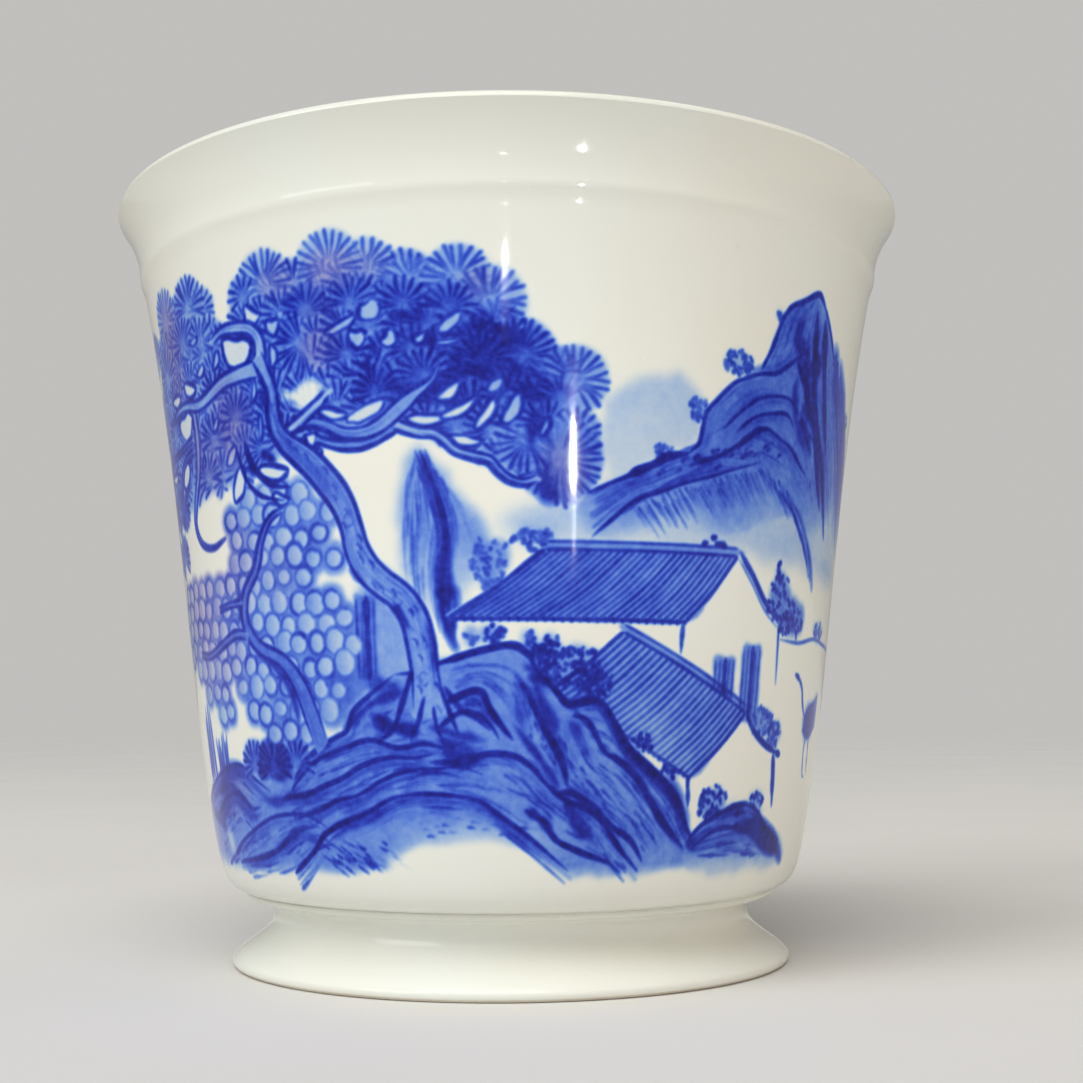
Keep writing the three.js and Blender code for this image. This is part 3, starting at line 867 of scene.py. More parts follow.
def pine_trunk(sheet):
    """The leaning trunk with its shaded side, scars, knots and roots."""
    branch(sheet, PINE_TRUNK, (1.3, 1.2, 1.5, 2.2, 2.3, 2.0, 2.2, 2.1, 2.2, 2.3, 3.0), 1.5, 4.8, 44, 0.36)
    shades(sheet, [[(-20.4, 48.4), (-19.2, 46.0), (-16.8, 43.9), (-14.9, 41.2)]], 1.3, 2.6, 0.8)
    marks = []
    path = curve_through(PINE_TRUNK, 0.4)
    for share in np.linspace(0.05, 0.97, 46):
        at = path[int(share * (len(path) - 1))] + chance.uniform(-0.8, 0.8, 2)
        marks.append(stroke([at, at + (0.3, -0.3), at + (0.4, -0.8)], chance.uniform(0.2, 0.34),
                            chance.uniform(2.2, 4.2), (0.1, 0.4)))
    for spot in ((-20.6, 49.6), (-13.9, 39.9), (-9.7, 33.2), (-7.6, 26.6)):
        knot = [np.array(spot) + 0.42 * np.array([math.cos(a), 1.3 * math.sin(a)])
                for a in np.linspace(0.4, 2 * math.pi, 8)]
        marks.append(stroke(knot, 0.2, 3.0, (0.1, 0.2)))
    sheet.lay(marks, soft=0.18, glaze=0.2)
    shades(sheet, [
        [(-10.2, 32.8), (-9.2, 31.6), (-8.7, 30.6)], [(-14.0, 35.8), (-12.6, 34.5)],
        [(-7.4, 31.6), (-6.8, 29.6), (-6.6, 26.0)],
    ], 0.6, 4.0, 0.5)
    roots = [
        [(-8.6, 27.4), (-9.6, 24.8), (-10.6, 22.6), (-12.2, 21.4)],
        [(-7.6, 25.2), (-8.2, 23.2), (-9.0, 21.6)],
        [(-6.2, 26.2), (-5.4, 24.0), (-4.6, 22.0)],
        [(-6.8, 24.4), (-6.6, 22.8), (-6.0, 21.4)],
        [(-5.8, 26.0), (-4.4, 24.2), (-3.0, 23.4), (-1.8, 22.4)],
    ]
    contours(sheet, roots, 0.42, 5.0)
    fork = [
        [(-24.6, 46.6), (-23.4, 44.6), (-21.8, 43.4), (-19.6, 43.0)],
        [(-26.0, 47.0), (-25.0, 44.2), (-23.2, 42.6), (-20.4, 41.9)],
        [(-24.8, 47.4), (-24.0, 45.2), (-22.6, 43.8)],
    ]
    contours(sheet, fork, 0.5, 5.6)


def pine(sheet):
    """The old pine: its canopy, the openings between its boughs, and its leaning trunk."""
    canopy_ground(sheet)
    canopy_sprays(sheet)
    pine_openings(sheet)
    pine_boughs(sheet)
    pine_trunk(sheet)
    sheet.blush(((-36, 58.4), (3.2, 5), 1.0), ((-35.6, 54.6), (2.6, 2.6), 0.9),
                ((-14.2, 60.5), (3.2, 2.2), 0.8), ((-19, 60.3), (2.8, 2.2), 0.6),
                ((-11, 60.6), (2.2, 1.8), 0.45), ((-15.6, 54.4), (2.4, 2.4), 0.85),
                ((-15.5, 57.2), (2.2, 2.2), 0.4), ((-26.6, 49.0), (3.8, 4.8), 0.95),
                ((-32.6, 47.4), (1.7, 5.0), 0.8), ((-30, 46.4), (3.4, 4.2), 0.7),
                ((-2.4, 58.6), (1.8, 1.8), 0.5), ((4.4, 43.6), (2.6, 3.2), 0.7))


# The guide lines of the rocky bank below the pine.
CREST = [
    (-13.4, 24.6), (-12.4, 25.6), (-10.3, 27), (-8.4, 27.2), (-5.75, 28.0), (-2.8, 28.8), (0.1, 29.3),
    (1.5, 28.5), (2.2, 27.4), (3.8, 25.75), (5.1, 24.5), (7.2, 24.8), (8.4, 24.3), (9.7, 22.4),
    (10.9, 20.75), (13, 19.1), (14.7, 17.8), (16.3, 16.2), (17.4, 14.1), (18.8, 12.4),
]
RIGHT_EDGE = CREST[7:]
LEFT_EDGE = [
    (-22, 18.25), (-19.5, 20.4), (-16.6, 21.8), (-15.3, 22.4), (-14.5, 24.0), (-12.8, 25.3), (-10.3, 27),
]
ROCK_FOOT = [
    (17.6, 10.9), (14, 10.4), (9, 10.2), (5.5, 10.6), (2.4, 12.4), (-1.0, 13.2), (-6, 13.0), (-9.6, 12.8),
    (-11.6, 11.2), (-16, 10.6), (-24, 10.2), (-33, 10.0), (-38, 10.0), (-44, 10.2), (-44, 14),
    (-40, 17.0), (-35, 18.8), (-30, 19.3), (-27, 18.2), (-24.4, 18.4),
]
LOW_LEDGE = [
    (-37.5, 10.2), (-34.5, 11.3), (-32, 12.6), (-28.2, 14.1), (-25.3, 15), (-22, 15.3), (-19.9, 15),
    (-18, 14.1),
]
FOOT_LEDGE = [(-33.7, 10.6), (-28.2, 11.4), (-25.3, 12.2), (-23.7, 13.1), (-21.2, 14.1), (-19.4, 14.3)]
FRONT_ARCH = [
    (-23.4, 10.2), (-20.3, 12.2), (-18.7, 13.7), (-16.2, 14.8), (-13.7, 15.6), (-11.2, 16.8),
    (-8.7, 17.2), (-5.3, 17.1), (-2.8, 16.6), (-0.75, 15.3), (1.3, 13.9), (3.8, 12.0), (5.4, 10.8),
]
MIDDLE_LEDGE = [
    (-22.6, 14.9), (-19.4, 15.6), (-17, 16.6), (-14.5, 17.1), (-12, 18.3), (-9.5, 19.1), (-6.6, 19.3),
    (-4.5, 19.4), (-2.4, 18.8),
]
RIGHT_SHOULDER = [
    (-7.4, 19.8), (-4.5, 19.9), (-2, 20.5), (0.1, 20.4), (1.75, 19.5), (3.4, 17.8), (5.1, 16.6),
    (7.2, 15.8), (8.8, 14.5), (10.5, 12.4), (12.4, 10.6),
]
UPPER_LEDGE = [
    (-24.0, 16.6), (-20.6, 17.0), (-18.7, 17.6), (-16.2, 18.4), (-13.7, 19.6), (-11.2, 20.2),
    (-8.6, 20.2), (-6.6, 20.6),
]
TOP_LEDGE = [
    (-22.4, 17.4), (-20.4, 19.0), (-18.7, 20.0), (-15.3, 21.1), (-12.8, 21.6), (-10.3, 21.0),
    (-7.8, 21.3), (-5.75, 21.0), (-4.0, 21.5),
]
BROW = [(-5.8, 24.6), (-4.4, 25.2), (-3.2, 25.6), (-2.4, 25.4), (-1.9, 24.3), (-0.9, 22.9), (0.2, 21.6)]
UNDER_BROW = [(-6.4, 22.6), (-4.5, 23.8), (-2.8, 23.7), (-1.7, 22.7), (-1.0, 21.6)]
SHORT_CLEFT = [(1.5, 25.4), (2.2, 24), (2.8, 22.8), (3.8, 21.2), (4.7, 19.5), (5.1, 17.8)]
LONG_CLEFT = [
    (5.4, 23.6), (6.8, 23.2), (7.8, 21.6), (8.6, 20.5), (10.2, 19.6), (11.8, 18.2), (13.4, 16.2),
    (15.2, 14.2), (17.2, 12.4),
]
MIDDLE_CLEFT = [
    (4.4, 22.0), (5.0, 20.0), (6.0, 18.4), (7.4, 17.4), (9.4, 15.8), (11.6, 14.4), (14.2, 11.6),
]
LOW_CLEFT = [(1.2, 15.9), (2.8, 15.0), (4.2, 13.4), (6.4, 12.4), (9.2, 11.4), (10.6, 10.5)]
INNER_CLEFT = [(4.0, 17.2), (5.6, 17.2), (7.6, 15.9), (9.6, 14.3), (11.4, 13.2), (12.8, 11.4)]
LEFT_BANK = [
    (-43, 15.4), (-39, 17.2), (-35, 18.7), (-32.4, 19.3), (-30, 19.3), (-27.4, 18), (-25.6, 17.2),
]
LEFT_FOLD = [(-38.6, 14.6), (-35.4, 16.0), (-33.2, 16.8), (-31.2, 16.8), (-29, 15.6), (-27.4, 15.8)]


def rock_body(sheet):
    """The washed body of the bank, pale where its front catches the light."""

    def light(u, z):
        front = np.clip(1 - np.hypot((u + 3) / 10, (z - 13.2) / 2.4), 0, 1)
        return (1 - 0.75 * front) * np.clip((z - 9.6) / 1.6, 0.3, 1)

    sheet.wash(LEFT_EDGE[1:-1] + CREST[2:] + ROCK_FOOT, 1.95, soft=0.25, rough=0.2, keep=0.9,
               shade=light)


def rock_shading(sheet):
    """The soft dark under each ledge and inside the clefts."""
    shades(sheet, [
        lower(FRONT_ARCH[2:], 0.2, 0.6), lower(MIDDLE_LEDGE, 0.1, 0.5), lower(RIGHT_SHOULDER, -0.2, 0.6),
        lower(UPPER_LEDGE, 0.1, 0.5), lower(TOP_LEDGE, 0.1, 0.5), lower(LOW_LEDGE[2:], 0, 0.5),
        lower(FOOT_LEDGE, 0, 0.4), lower(LEFT_EDGE, 0.5, 0.5),
    ], 0.7, 3.0, 0.6)
    shades(sheet, [
        SHORT_CLEFT, LONG_CLEFT[3:], lower(LONG_CLEFT[4:], 0.3, 0.4), LOW_CLEFT[:3],
        lower(RIGHT_EDGE[3:], -0.3, 0.3), [(0.2, 27.2), (1.7, 25.2), (2.7, 23.4)],
        [(0.0, 23.2), (1.6, 21.2), (3.4, 19.0), (4.6, 17.4)], [(4.6, 24.7), (8.4, 24.9)],
        [(5.0, 16.8), (5.8, 15.0), (7.0, 13.6)], INNER_CLEFT[:4],
        [(-6.4, 19.9), (-4.4, 19.6), (-2.6, 19.9)],
    ], 0.85, 4.8, 0.6)
    shades(sheet, [
        lower(LEFT_BANK, 0, 0.8), lower(LEFT_FOLD, 0, 0.6), lower(LEFT_BANK[2:], -2.6, 2.0),
        [(-41.6, 15.0), (-38.4, 14.2), (-35.8, 13.4)],
    ], 1.4, 4.2, 1.0)


def rock_texture(sheet):
    """The fine strokes between the ledges and down the right-hand faces."""
    between_ledges = (
        (LOW_LEDGE, FOOT_LEDGE, 42), (LOW_LEDGE, MIDDLE_LEDGE, 62), (MIDDLE_LEDGE, UPPER_LEDGE, 49),
        (UPPER_LEDGE, TOP_LEDGE, 62), (TOP_LEDGE, LEFT_EDGE, 62),
        (FOOT_LEDGE, lower(FOOT_LEDGE, 2.5, 1.4), 35), (FRONT_ARCH, lower(FRONT_ARCH, 0.4, 1.6), 62),
        (FRONT_ARCH, MIDDLE_LEDGE, 56), (RIGHT_SHOULDER, MIDDLE_LEDGE, 28),
        (RIGHT_SHOULDER, lower(RIGHT_SHOULDER, -1.2, 1.6), 49), (LEFT_BANK, LEFT_FOLD, 49),
        (LEFT_FOLD, lower(LEFT_FOLD, 0.4, 3.4), 62),
    )
    for near, far, count in between_ledges:
        flow(sheet, near, far, count, 0.26, (1.6, 4.2), (0.08, 0.3))
    down_faces = (
        (RIGHT_EDGE, LONG_CLEFT, 93), (LONG_CLEFT, MIDDLE_CLEFT, 80),
        (SHORT_CLEFT, [(0.4, 26.4), (1.2, 23.0), (2.0, 20.8), (3.4, 18.6)], 37),
        (MIDDLE_CLEFT, RIGHT_SHOULDER[3:], 68), (LOW_CLEFT, RIGHT_SHOULDER[4:], 37),
        (SHORT_CLEFT, MIDDLE_CLEFT, 37),
    )
    for near, far, count in down_faces:
        flow(sheet, near, far, count, 0.25, (1.5, 4.2), (0.08, 0.34))
    flow(sheet, BROW, UNDER_BROW, 36, 0.25, (2.6, 4.6), (0.2, 0.6))
    flow(sheet, [(-5.4, 27.4), (-2.4, 27.9), (0.2, 27.4), (1.4, 25.6)],
         [(-4.9, 25.4), (-2.6, 26.2), (-0.6, 24.6), (0.4, 22.0)], 46, 0.25, (2.2, 3.8), (0.15, 0.5))


def rock_darks(sheet):
    """The darkest hollows, round the pine's roots and on the right-hand faces."""
    shades(sheet, [
        [(-7.4, 22.9), (-4.6, 22.0), (-2.2, 21.5)], [(-6.8, 21.7), (-4.4, 21.1), (-2.4, 20.8)],
        [(-6.2, 20.6), (-4.2, 20.3), (-2.8, 20.5)],
        [(-15.4, 22.6), (-13.4, 24.2), (-11.4, 25.1), (-9.6, 25.6)],
        [(-12.6, 23.4), (-10.4, 22.6), (-8.0, 22.4)], [(1.2, 27.6), (2.6, 26.6), (4.0, 26.4)],
    ], 1.1, 4.7, 0.8)
    shades(sheet, [
        [(2.0, 26.4), (3.2, 23.6), (4.4, 21.2)], [(5.2, 17.0), (6.2, 14.8), (7.6, 13.2)],
        [(5.4, 23.2), (6.2, 21.4), (7.4, 19.6)], [(14.6, 18.0), (16.2, 16.2), (17.4, 13.6)],
    ], 1.3, 4.5, 0.9)
    shades(sheet, [
        [(0.9, 26.8), (0.6, 24.2), (1.4, 21.4)], [(-17.6, 13.4), (-14.6, 15.1), (-11.4, 16.1)],
        [(-27.4, 16.4), (-24.4, 16.4), (-20.6, 17.4)], [(-26, 12.2), (-22, 13.4), (-18, 12.6)],
        [(-12.8, 26.4), (-10.6, 26.0), (-9.2, 24.6)],
    ], 1.3, 3.7, 0.9)


def rock_outlines(sheet):
    """The outlines of the ledges, and broader ones along the clefts and the skyline."""
    contours(sheet, [
        LOW_LEDGE, FOOT_LEDGE, FRONT_ARCH[:7], FRONT_ARCH[5:], MIDDLE_LEDGE, RIGHT_SHOULDER[:6],
        RIGHT_SHOULDER[4:], UPPER_LEDGE, TOP_LEDGE, BROW, UNDER_BROW, LEFT_EDGE, LEFT_BANK, LEFT_FOLD,
        CREST[2:9], CREST[7:13], CREST[11:16], CREST[14:],
    ], 0.42, 5.0)
    contours(sheet, [
        SHORT_CLEFT, LONG_CLEFT[:5], LONG_CLEFT[3:], LOW_CLEFT, INNER_CLEFT, BROW, FRONT_ARCH[:5],
        RIGHT_SHOULDER[6:], CREST[4:9], CREST[8:14], CREST[12:],
    ], 0.6, 5.6)


def rock_hatching(sheet):
    """Short strokes at the bank's foot and under its front arch, with bare glaze below them."""
    marks = []
    for _ in range(70):
        at = np.array([chance.uniform(-18.5, -10.5), chance.uniform(10.9, 13.0)])
        fall = np.array([0.9, -0.5]) * chance.uniform(0.6, 1.5) * chance.choice((-1, 1))
        marks.append(stroke([at, at + fall * 0.5, at + fall], 0.27, chance.uniform(2.6, 4.8), (0.1, 0.5)))
    for _ in range(46):
        right = chance.uniform(-9, 2)
        at = np.array([right, 15.6 - 0.03 * (right + 4)**2 + chance.uniform(-1.6, 0.5)])
        marks.append(stroke([at, at + (0.45, 0.02), at + (0.9, -0.1)], 0.24, chance.uniform(1.6, 3.8),
                            (0.2, 0.5)))
    sheet.lay(marks, soft=0.2, glaze=0.15)
    sheet.clear([(-12, 11.9), (-8, 13.0), (-3.6, 12.8), (0, 12.2), (3.0, 10.9), (0, 8.6), (-8, 8.2),
                 (-13, 9.8)], soft=0.5, left=0.04)
    sheet.clear([(-36.6, 13.2), (-35, 13.6), (-34.4, 11.8), (-35.4, 11.0)], soft=0.4, left=0.3)


def foreground_rocks(sheet):
    """The rocky bank below the pine: outlined boulders with strokes running down their faces."""
    rock_body(sheet)
    rock_shading(sheet)
    rock_texture(sheet)
    rock_darks(sheet)
    rock_outlines(sheet)
    rock_hatching(sheet)
    sheet.blush(((-34, 17), (6, 3), 0.6), ((-39, 14), (4, 4), 0.4))


def reed(base, lean, height, widest, bow, taper):
    """A blade that leans as it rises."""
    return stroke([base, base + (lean * bow, height / 2), base + (lean, height)],
                  chance.uniform(0.24, widest), chance.uniform(2.6, 4.8), taper)


def low_mound(sheet):
    """The low mound at the right, with its shrubs."""
    mound = [
        (17.6, 12.8), (19.2, 14.2), (21, 15.0), (23, 15.6), (25, 15.8), (26.8, 15.3), (28.4, 14.0),
        (30.2, 12.9), (32.4, 12.3), (34.4, 10.4), (30, 9.8), (24, 9.8), (19, 10.0), (17.4, 11.4),
    ]
    sheet.wash(mound, 2.6, soft=0.25, rough=0.3, keep=0.5,
               shade=lambda u, z: np.clip((z - 9.6) / 3.2, 0.1, 1))
    shades(sheet, [lower(mound[2:6], 0, 0.6), [(17.6, 12.6), (19.4, 12.9)]], 1.0, 3.7, 0.6)
    shades(sheet, [[(23.4, 13.9), (26.6, 13.6), (29.4, 12.5), (32.0, 11.5), (34.0, 10.4)]], 1.8, 5.2, 0.7)
    flow(sheet, mound[:9], [(17.8, 11.6), (22, 11.4), (27, 11.2), (33, 10.6)], 70, 0.34, (1.8, 4.2),
         (0.12, 0.4))
    contours(sheet, [mound[:4], mound[2:6], mound[5:9], [(18.4, 12.4), (21, 13.7), (24.4, 13.9)]],
             0.46, 5.2)
    bushes(sheet, (
        ((20.4, 16.1), (3.6, 3.0), 42, 4.8, 1.8), ((26.8, 16.0), (2.2, 1.4), 18, 4.8, 1.8),
        ((27.2, 14.6), (1.4, 0.8), 8, 4.8, 1.8), ((15.2, 18.9), (2.2, 1.2), 12, 4.8, 1.8),
        ((12.0, 21.2), (2.2, 1.8), 18, 4.8, 1.8), ((23.4, 15.2), (3.0, 1.0), 10, 4.8, 1.8),
    ))


def reedy_bank(sheet):
    """The reeds and the round tufts of grass at the left."""
    marks = []
    for right in np.concatenate([np.linspace(-39.0, -36.9, 16), np.linspace(-35.5, -33.2, 16)]):
        foot = chance.uniform(17.6, 18.8)
        height = chance.uniform(2.4, 4.0) if right > -36 else chance.uniform(4.5, 7.0)
        lean = chance.uniform(-0.6, 0.5)
        base = np.array([right + chance.uniform(-0.2, 0.2), foot])
        marks.append(reed(base, lean, height, 0.42, 0.3, (0.15, 0.6)))
    sheet.lay(marks, glaze=0.2)
    shades(sheet, [[(-27.4, 19.5), (-24.6, 19.0), (-22.2, 19.5)]], 2.2, 4.8, 0.8)
    needle_cloud(sheet, (-21.4, 19.6), 2.2, -10, 200, 4.6, 2.4)
    needle_cloud(sheet, (-27.4, 19.4), 2.3, 20, 200, 4.4, 2.2)
    needle_cloud(sheet, (-24.6, 19.4), 2.6, 5, 230, 5.0, 3.6)


def house_shrubs(sheet):
    """The shrubs before the upper house's veranda, and the screen between it and the pine."""
    bushes(sheet, (
        ((5.4, 27.4), (6.4, 3.4), 80, 5.0, 1.6), ((-3.4, 30.2), (1.2, 1.6), 8, 3.0, 1.6),
        ((-1.6, 30.3), (2.0, 1.8), 20, 4.8, 1.6), ((1.7, 29.4), (1.2, 1.8), 10, 4.0, 1.6),
        ((3.4, 28.8), (2.0, 2.6), 30, 5.0, 1.6), ((7.4, 26.2), (3.4, 2.4), 32, 5.0, 1.6),
        ((2.4, 28.2), (3.4, 2.2), 36, 5.0, 2.8),
    ))
    sheet.wash([(-13.6, 26), (-13.4, 33.8), (-11.0, 35.6), (-9.0, 33), (-8.8, 27), (-11, 25.4)], 1.5,
               soft=0.5, rough=0.3)
    screen(sheet, -13.8, -11.7, 26.6, 33.6)
    sheet.wash([(-17.8, 22.8), (-17.0, 27.0), (-13.6, 28.4), (-12, 27), (-13.6, 25), (-15.6, 22.8)], 2.3,
               soft=0.4, rough=0.2)


def back_water(sheet):
    """The open bay behind: ripples and a boat under sail."""
    for u, z, width in ((60, 30.5, 16), (64, 27.4, 11), (80, 29.2, 14), (88, 25.6, 12), (72, 23.2, 10),
                        (98, 28.4, 15), (-99, 25.6, 9), (-86, 27.4, 11), (-74, 24.2, 12)):
        ripple = [(u, z), (u + width * 0.3, z + 0.25), (u + width * 0.7, z - 0.15), (u + width, z + 0.1)]
        sheet.lay([stroke(ripple, 0.28, chance.uniform(1.2, 2.4), (0.3, 0.5))])
    hull = [(84, 34.2), (86, 33.2), (90, 32.8), (94, 33.3), (96.4, 34.6)]
    deck = [(84, 34.2), (88, 34.5), (93, 34.5), (96.4, 34.6)]
    mast = [(89.6, 34.6), (89.9, 38), (90, 41.6)]
    sheet.wash(hull + [(92, 34.4), (87, 34.2)], 1.8, soft=0.15)
    contours(sheet, [hull, deck, mast], 0.34, 4.4)
    sail = [(90.2, 41.2), (92.4, 39.6), (93.6, 37.4), (93.8, 35.4), (90.2, 35.6)]
    sheet.wash(sail, 0.8, soft=0.15)
    contours(sheet, [sail + sail[:1]], 0.24, 3.0)


def back_bank(sheet):
    """The bank on the near side of the bay."""
    bank = [(54, 9.8), (58, 13.4), (63, 16.2), (69, 17.4), (74, 16.0), (80, 14.2), (86, 14.6), (92, 13.2),
            (98, 11.4), (104, 9.8)]
    sheet.wash(bank, 1.3, soft=0.35, rough=0.3)
    for depth in (0.0, 2.2, 4.4):
        fold = lower(bank[1:8], depth, depth)
        flow(sheet, fold, lower(fold, 1, 2.2), 70, 0.3, (1.6, 4.2), (0.1, 0.3))
        contours(sheet, [fold[:4], fold[3:]], 0.44, 5.0)


def back_rocks(sheet):
    """A row of humped rocks of uneven height, each by where its top stands."""
    for right, top in ((-82, 12.2), (-76.5, 14.6), (-70, 17.4), (-64.8, 13.4), (-58, 15.6), (-53.4, 19.6),
                       (-47.6, 16.2)):
        rise = top - 10
        hump = [(right - rise, 10.0), (right - 0.5 * rise, 10 + 0.72 * rise), (right, top),
                (right + 0.3 * rise, top - 0.6), (right + 0.7 * rise, 10 + 0.5 * rise),
                (right + 1.2 * rise, 10.2)]
        sheet.wash(hump, 1.4, soft=0.3, rough=0.3)
        base = [(p[0] * 0.4 + right * 0.6, 10.4) for p in hump]
        flow(sheet, hump, base, 26, 0.3, (1.8, 4.2), (0.1, 0.4))
        contours(sheet, [hump], 0.44, 5.0)


def far_side(sheet):
    """What the painter carries on round the back: the pine's tip, a bay, reeds, rocks and birds."""
    for centre, radius, tilt in (
        ((-49, 55.2), 3.0, 15), ((-46.6, 53.0), 2.8, 0), ((-52.8, 51.6), 3.0, 30),
        ((-48.6, 47.6), 2.8, 20), ((-54.6, 47.8), 2.6, 45), ((-50.4, 59), 2.9, 20),
    ):
        needle_cloud(sheet, centre, radius, tilt, 230, 3.0, 0.9)
    back_water(sheet)
    back_bank(sheet)
    back_rocks(sheet)
    marks = []
    for right in np.linspace(64, 78, 40):
        base = np.array([right + chance.uniform(-0.3, 0.3), 16.4 - abs(right - 69) * 0.12])
        height = chance.uniform(4, 9)
        lean = chance.uniform(-1.5, 2.5)
        marks.append(reed(base, lean, height, 0.4, 0.25, (0.1, 0.7)))
    sheet.lay(marks, glaze=0.2)
    for u, z in ((66, 53), (70.5, 54.6), (74.6, 52.8), (79, 55), (-86, 52.5), (-90, 54)):
        left_wing = stroke([(u - 1.5, z + 0.5), (u - 0.7, z + 0.8), (u, z)], 0.3, 3.4, (0.5, 0.1))
        right_wing = stroke([(u, z), (u + 0.7, z + 0.8), (u + 1.5, z + 0.4)], 0.3, 3.4, (0.1, 0.5))
        sheet.lay([left_wing, right_wing])


def paint():
    """The whole painting, from the farthest motif to the nearest."""
    sheet = Sheet()
    for motif in (far_hills, right_mountain, cone_peak, upper_house, lower_house, shore, far_side,
                  house_shrubs, foreground_rocks, low_mound, reedy_bank, scale_leaves, pine):
        motif(sheet)
    sheet.fire()
    return sheet




# ---------------------------------------------------------------------------------------------
# The outlines of the cup, as (radius, height) in millimetres.
# ---------------------------------------------------------------------------------------------

WAIST = (26.0, 7.1)            # the crease where the bowl meets its foot
HEEL = (29.3, 13.6)            # where the rounded base runs into the wall
LIP_START = (36.95, 66.1)      # the crease below the flared lip
RIM_RADIUS = 39.5
RIM_ROUNDING = 0.65
RIM_HEIGHT = 72.75             # the centre of the rim's rounding
INSIDE_LIP = (34.95, 65.1)     # where the inside turns out into the lip
INSIDE_WALL = (28.9, 26)       # where the inside starts to round towards its floor
INSIDE_FLOOR = (18, 10.8)      # the edge of the flat inside floor
BORE_RADIUS = 20.6             # the inside of the foot ring
SLIP_EDGE = (25.4, 6.4)        # the top of the foot ring, where the slip sits
FOOT_WAIST = (23.35, 4.75)     # the narrowest place of the foot's flare
FOOT_EDGE = (26.65, 0.6)       # the centre of the rounding round the foot
FOOT_ROUNDING = 0.6
FOOT_TIP_TURN = 0.5            # how far up the rounding goes before the flare, in radians
LAND_INSIDE = (24.2, 0)        # the inner edge of the flat land
BORE_FOOT = (23.4, 0.8)        # where the bore rounds into the land
LAND_HEIGHT = 0.32             # how far up the foot the glaze was wiped off
PANEL_DEPTH = 0.08             # the thickness of a painted panel
RECESS = 0.25                  # how far the body lies behind the painted panels
TURN = 240                     # the steps round the body and the foot
# The soft bead under the lip, as heights and how fast the wall swells out there.
BEAD_HEIGHTS = (64.6, 66.1, 66.75, 69.13)
BEAD_SLOPES = (0, 0.23, -0.1636, 0)


def bezier(start, first, second, end, count):
    """Points on a cubic curve, without its start."""
    t = np.linspace(0, 1, count + 1)[1:, None]
    a, b, c, d = (np.array(p, float) for p in (start, first, second, end))
    return (1 - t)**3 * a + 3 * (1 - t)**2 * t * b + 3 * (1 - t) * t**2 * c + t**3 * d


def arc(centre, radius, start, end, count):
    """Points on a circle from one angle to another, without the first."""
    turns = np.linspace(start, end, count + 1)[1:]
    return np.column_stack([centre[0] + radius * np.cos(turns), centre[1] + radius * np.sin(turns)])


def line(start, end, count):
    """Points on a straight line, without its start."""
    t = np.linspace(0, 1, count + 1)[1:, None]
    return (1 - t) * np.array(start, float) + t * np.array(end, float)


def with_bead(outline):
    """An outline with the bead under the lip pushed out of it."""
    height = np.linspace(BEAD_HEIGHTS[0], BEAD_HEIGHTS[-1], 300)
    swell = np.cumsum(np.interp(height, BEAD_HEIGHTS, BEAD_SLOPES)) * (height[1] - height[0])
    outline[:, 0] += np.interp(outline[:, 1], height, swell, left=0, right=0)
    return outline


def outer_wall(count):
    """The outside of the wall, from the waist crease up to the lip crease, evenly spaced."""
    heel = bezier(WAIST, (28.2, 7.6), (28.45, 9.4), HEEL, 3000)
    wall = bezier(HEEL, (31.75, 26.5), (32.9, 46.4), LIP_START, 6000)
    path = np.vstack([[WAIST], heel, wall])
    length = along(path)
    t = np.linspace(0, 1, count + 1)
    return with_bead(np.column_stack([np.interp(t, length, path[:, k]) for k in (0, 1)]))


def bowl_outline():
    """The bowl's body in section, from the middle of its underside round to the inside floor."""
    under = (0, WAIST[1])
    bore_edge = (BORE_RADIUS, WAIST[1])
    rim_outside = (RIM_RADIUS, RIM_HEIGHT)
    rim_centre = (RIM_RADIUS - RIM_ROUNDING, RIM_HEIGHT)
    rim_inside = (RIM_RADIUS - 2 * RIM_ROUNDING, RIM_HEIGHT)
    return np.vstack([
        [under],
        line(under, bore_edge, 12),
        line(bore_edge, WAIST, 4),
        outer_wall(150) - (RECESS, 0),
        outer_wall(1)[-1:],
        with_bead(bezier(LIP_START, (37.45, 68.5), (37.9, 70.6), rim_outside, 60)),
        arc(rim_centre, RIM_ROUNDING, 0, math.pi, 14),
        bezier(rim_inside, (36.15, 70.1), (35.45, 67.6), INSIDE_LIP, 22),
        bezier(INSIDE_LIP, (31.35, 48.1), (30.6, 37), INSIDE_WALL, 60),
        bezier(INSIDE_WALL, (27.3, 15.6), (25, INSIDE_FLOOR[1]), INSIDE_FLOOR, 36),
        line(INSIDE_FLOOR, (0, INSIDE_FLOOR[1]), 14),
    ])


def foot_outline():
    """The foot ring in section, closed, starting at the top of its bore."""
    bore_top = (BORE_RADIUS, SLIP_EDGE[1])
    tip = (FOOT_EDGE[0] + FOOT_ROUNDING * math.cos(FOOT_TIP_TURN),
           FOOT_EDGE[1] + FOOT_ROUNDING * math.sin(FOOT_TIP_TURN))
    return np.vstack([
        [bore_top],
        line(bore_top, BORE_FOOT, 14),
        bezier(BORE_FOOT, (23.55, 0.4), (23.75, 0.0), LAND_INSIDE, 8),
        line(LAND_INSIDE, (FOOT_EDGE[0], 0), 6),
        arc(FOOT_EDGE, FOOT_ROUNDING, -math.pi / 2, FOOT_TIP_TURN, 12),
        bezier(tip, (26.15, 2.1), (23.45, 3.05), FOOT_WAIST, 26),
        bezier(FOOT_WAIST, (23.35, 5.75), (24.4, 6.05), SLIP_EDGE, 14),
        line(SLIP_EDGE, bore_top, 5)[:-1],
    ])


